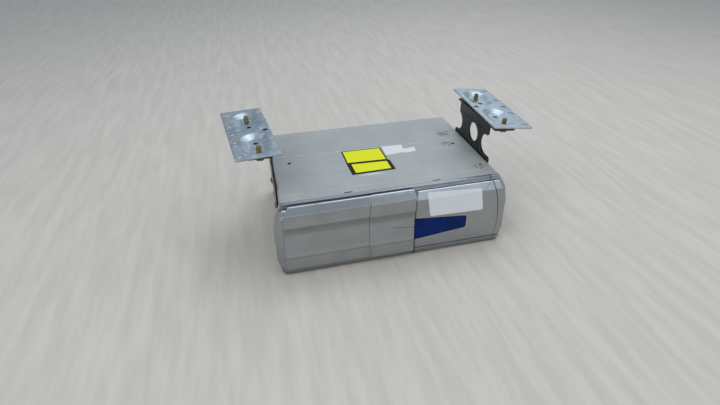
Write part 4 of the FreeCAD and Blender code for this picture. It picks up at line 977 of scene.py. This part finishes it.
def make_top_labels():
    """Yellow labels in black frames and bare white ones, a little askew, and one on the back."""
    leaves = (
        ("upper_frame", ((-40.9, 13.9), (11.6, 12.8), (12.3, -21.4), (-40.8, -19.5)), 0.02, 0.5,
         "black_ink"),
        ("upper_field", ((-39.0, 12.0), (9.8, 10.9), (10.3, -19.7), (-38.9, -17.9)), 0.13, 0.3,
         "yellow_label"),
        ("lower_frame", ((-40.8, -19.4), (14.4, -21.9), (14.9, -47.0), (-39.9, -48.1)), 0.04, 0.5,
         "black_ink"),
        ("lower_field", ((-35.4, -22.8), (9.6, -25.0), (9.9, -43.6), (-34.7, -44.4)), 0.15, 0.3,
         "yellow_label"),
        ("square_label", ((14.3, 14.2), (41.1, 13.1), (40.0, -7.3), (13.4, -9.8)), 0.06, 0.8,
         "white_label"),
        ("small_label", ((39.3, 1.2), (56.3, 3.1), (54.7, -7.8), (39.0, -9.9)), 0.02, 0.6,
         "white_label"))
    for name, corners, lift, radius, finish in leaves:
        leaf(name, softened(corners, radius), lift, finish)
    leaf("rear_label", softened(((-62.0, 24.0), (-6.0, 24.0), (-6.0, 52.0), (-62.0, 52.0)), 2.0),
         0.02, "white_label", spot=on_back)


def bezel_point(x, down, lift):
    """A point of the bezel's front by the length down from the top of its chamfer."""
    slope = Vector((0, -CHAMFER_DEPTH, CHAMFER_FOOT - BEZEL_TOP))
    top = Vector((x, BEZEL_Y + CHAMFER_DEPTH, BEZEL_TOP))
    if down < slope.length:
        way = slope.normalized()
        point = top + way * down
    else:
        way = Vector((0, -BEZEL_LEAN, -CHAMFER_FOOT)).normalized()
        point = top + slope + way * (down - slope.length)
    return point + Vector((0, way.z, -way.y)) * lift


def make_front_label():
    """The bare white label that laps from the chamfer onto the front."""
    bm = bmesh.new()
    corners = softened(((36.4, 83.4), (104.4, 79.4), (109.0, 49.6), (41.0, 51.4)), 3.0, 8)
    spacing, rings = 1.5, 20
    outline = []
    for here, after in zip(corners, corners[1:] + corners[:1]):
        count = max(1, round((after - here).length / spacing))
        for k in range(count):
            spot = here.lerp(after, k / count)
            outline.append(Vector((spot.x, BEZEL_TOP - spot.y)))
    middle = sum(outline, Vector((0.0, 0.0))) / len(outline)
    rims = []
    for lift in (0.05, 0.2):
        centre = bm.verts.new(bezel_point(*middle, lift))
        loops = [[bm.verts.new(bezel_point(*middle.lerp(spot, k / rings), lift))
                  for spot in outline] for k in range(1, rings + 1)]
        inner = loops[0]
        for k in range(len(inner)):
            bm.faces.new((centre, inner[k], inner[(k + 1) % len(inner)]))
        for inner, outer in zip(loops, loops[1:]):
            band(bm, inner, outer)
        rims.append(loops[-1])
    band(bm, *rims)
    keep("front_label", bm, "white_label", "casing")


def make_panel_number():
    """The plain number ten on the number panel: it stands on its head, as the casing does."""
    bm = bmesh.new()
    count, middle_x, middle_z, slant = 36, 71.0, 36.9, 0.12

    def oval(wide, tall):
        """An outline that leans as the stroke beside it does."""
        spots = [around(1.0, k, count) for k in range(count)]
        return [(middle_x + wide * a + slant * tall * b, middle_z + tall * b) for a, b in spots]

    stroke = ((76.4, 33.3), (77.7, 33.3), (78.5, 40.6), (77.2, 40.6))
    (low_in, low_out, low_bar), (high_in, high_out, high_bar) = [
        [[bm.verts.new(on_front(x, z, lift)) for x, z in line]
         for line in (oval(1.3, 2.4), oval(2.6, 3.8), stroke)] for lift in (0.02, 0.12)]
    for one, other in ((high_in, high_out), (high_out, low_out), (low_out, low_in),
                       (low_in, high_in)):
        band(bm, one, other)
    skin(bm, [low_bar, high_bar])
    keep("panel_number", bm, "black_ink", "casing")


def make_web_ribs():
    """Low pressed ribs that run up the inner face of each bracket's web."""
    bm = bmesh.new()
    arch = ((-1.0, 0.0), (-0.6, 0.8), (0.0, 1.0), (0.6, 0.8), (1.0, 0.0))
    rows = ((-9.5, 0.2, 0.0), (-8.3, 0.9, 0.5), (8.3, 0.9, 0.5), (9.5, 0.2, 0.0))
    skin(bm, [[bm.verts.new((x * width, z, rise * y)) for x, y in arch]
              for z, width, rise in rows])
    rib = plain_mesh("web_rib", bm)
    places, sunk = ((-32.5, 124.0), (-24.5, 124.0), (5.0, 124.0), (15.0, 122.0)), 0.02
    for side, out in SIDES:
        points = [((out * (SIDE_X - sunk), y, z), (-out, 0.0, 0.0)) for y, z in places]
        set_out(f"web_ribs_{side}", rib, points, "black_steel")


def make_grip_ribs():
    """Fine ribs along the top edge of the door's grip."""
    bm = bmesh.new()
    half, radius, sides = (GRIP_RIGHT - GRIP_LEFT) / 2, 0.36, 12
    skin(bm, [[bm.verts.new((x, *around(radius, k, sides))) for k in range(sides // 2 + 1)]
              for x in (-half, half)])
    middle, height = (GRIP_LEFT + GRIP_RIGHT) / 2, GRIP_TOP - 0.04
    slope = Vector((0, GRIP_FACE_Y - GRIP_BEND_Y, GRIP_FACE_TOP - GRIP_TOP)).normalized()
    bend = Vector((middle, GRIP_BEND_Y, height))
    points = [((middle, GRIP_LIP_Y - run, height), UPWARD) for run in (0.5, 1.4)]
    points += [(bend + slope * run, (0.0, slope.z, -slope.y)) for run in (0.5, 1.45, 2.4, 3.35)]
    set_out("grip_ribs", plain_mesh("grip_rib", bm), points, "silver_plastic", "door")


# Light, floor and camera

def make_stage():
    """A wide pale floor, an even sky and five soft lamps turned to the middle of the object."""
    half = 3.0
    mesh = bpy.data.meshes.new("floor")
    mesh.from_pydata([(x * half, y * half, 0.0) for x, y in ((-1, -1), (1, -1), (1, 1), (-1, 1))],
                     [], [(0, 1, 2, 3)])
    mesh.materials.append(pale_floor())
    stand("floor", mesh)
    world = bpy.data.worlds.new("studio")
    bpy.context.scene.world = world
    world.use_nodes = True
    sky = world.node_tree.nodes["Background"]
    sky.inputs["Color"].default_value = (0.72, 0.82, 0.97, 1.0)
    sky.inputs["Strength"].default_value = 0.52
    middle = Vector((0.0, 0.0, 0.06))
    # Name, power, width and height, place and colour
    lamps = (("key", 4.8, (0.9, 0.9), (-0.85, -0.45, 1.1), (0.97, 0.985, 1.0)),
             ("fill", 3.0, (1.2, 1.2), (0.95, -0.35, 0.9), (1.0, 0.97, 0.92)),
             ("top", 6.4, (0.9, 0.7), (0.3, 0.5, 1.35), (0.80, 0.90, 1.0)),
             ("back", 1.8, (0.8, 0.6), (0.95, 1.5, 1.05), (0.92, 0.97, 1.0)),
             ("front", 4.2, (1.8, 0.5), (0.25, -1.6, 0.40), (0.76, 0.88, 1.0)))
    for name, power, (wide, tall), at, colour in lamps:
        data = bpy.data.lights.new(name, "AREA")
        data.shape, data.size, data.size_y = "RECTANGLE", wide, tall
        data.energy, data.color = power, colour
        lamp = stand(name, data)
        lamp.location = at
        lamp.rotation_euler = (middle - Vector(at)).to_track_quat("-Z", "Y").to_euler()


def make_camera():
    """The camera: its focal length in pixels of a frame, its place, and how it is turned."""
    focal, frame_width, sensor = 460.1, 720.0, 36.0
    yaw, pitch, roll = 0.241, 0.592, -0.007
    data = bpy.data.cameras.new("view")
    data.sensor_width, data.clip_start = sensor, 0.01
    data.lens = focal * sensor / frame_width
    ahead = Vector((math.sin(yaw) * math.cos(pitch), math.cos(yaw) * math.cos(pitch),
                    -math.sin(pitch)))
    right = Vector((math.cos(yaw), -math.sin(yaw), 0.0))
    up = right.cross(ahead)
    level = right * math.cos(roll) + up * math.sin(roll)
    raised = -right * math.sin(roll) + up * math.cos(roll)
    pose = Matrix((level, raised, -ahead)).transposed().to_4x4()
    pose.translation = Vector((-0.1448, -0.5115, 0.3694))
    camera = stand("view", data)
    camera.matrix_world = pose
    bpy.context.scene.camera = camera


dress_nodes()
make_bolts()
make_screws()
make_top_labels()
make_front_label()
make_panel_number()
make_grip_ribs()
make_web_ribs()
make_lead_screws()
make_lens()
make_board_parts()
make_magazine_print()
make_stage()
make_camera()
bpy.context.scene.view_settings.view_transform = "Standard"
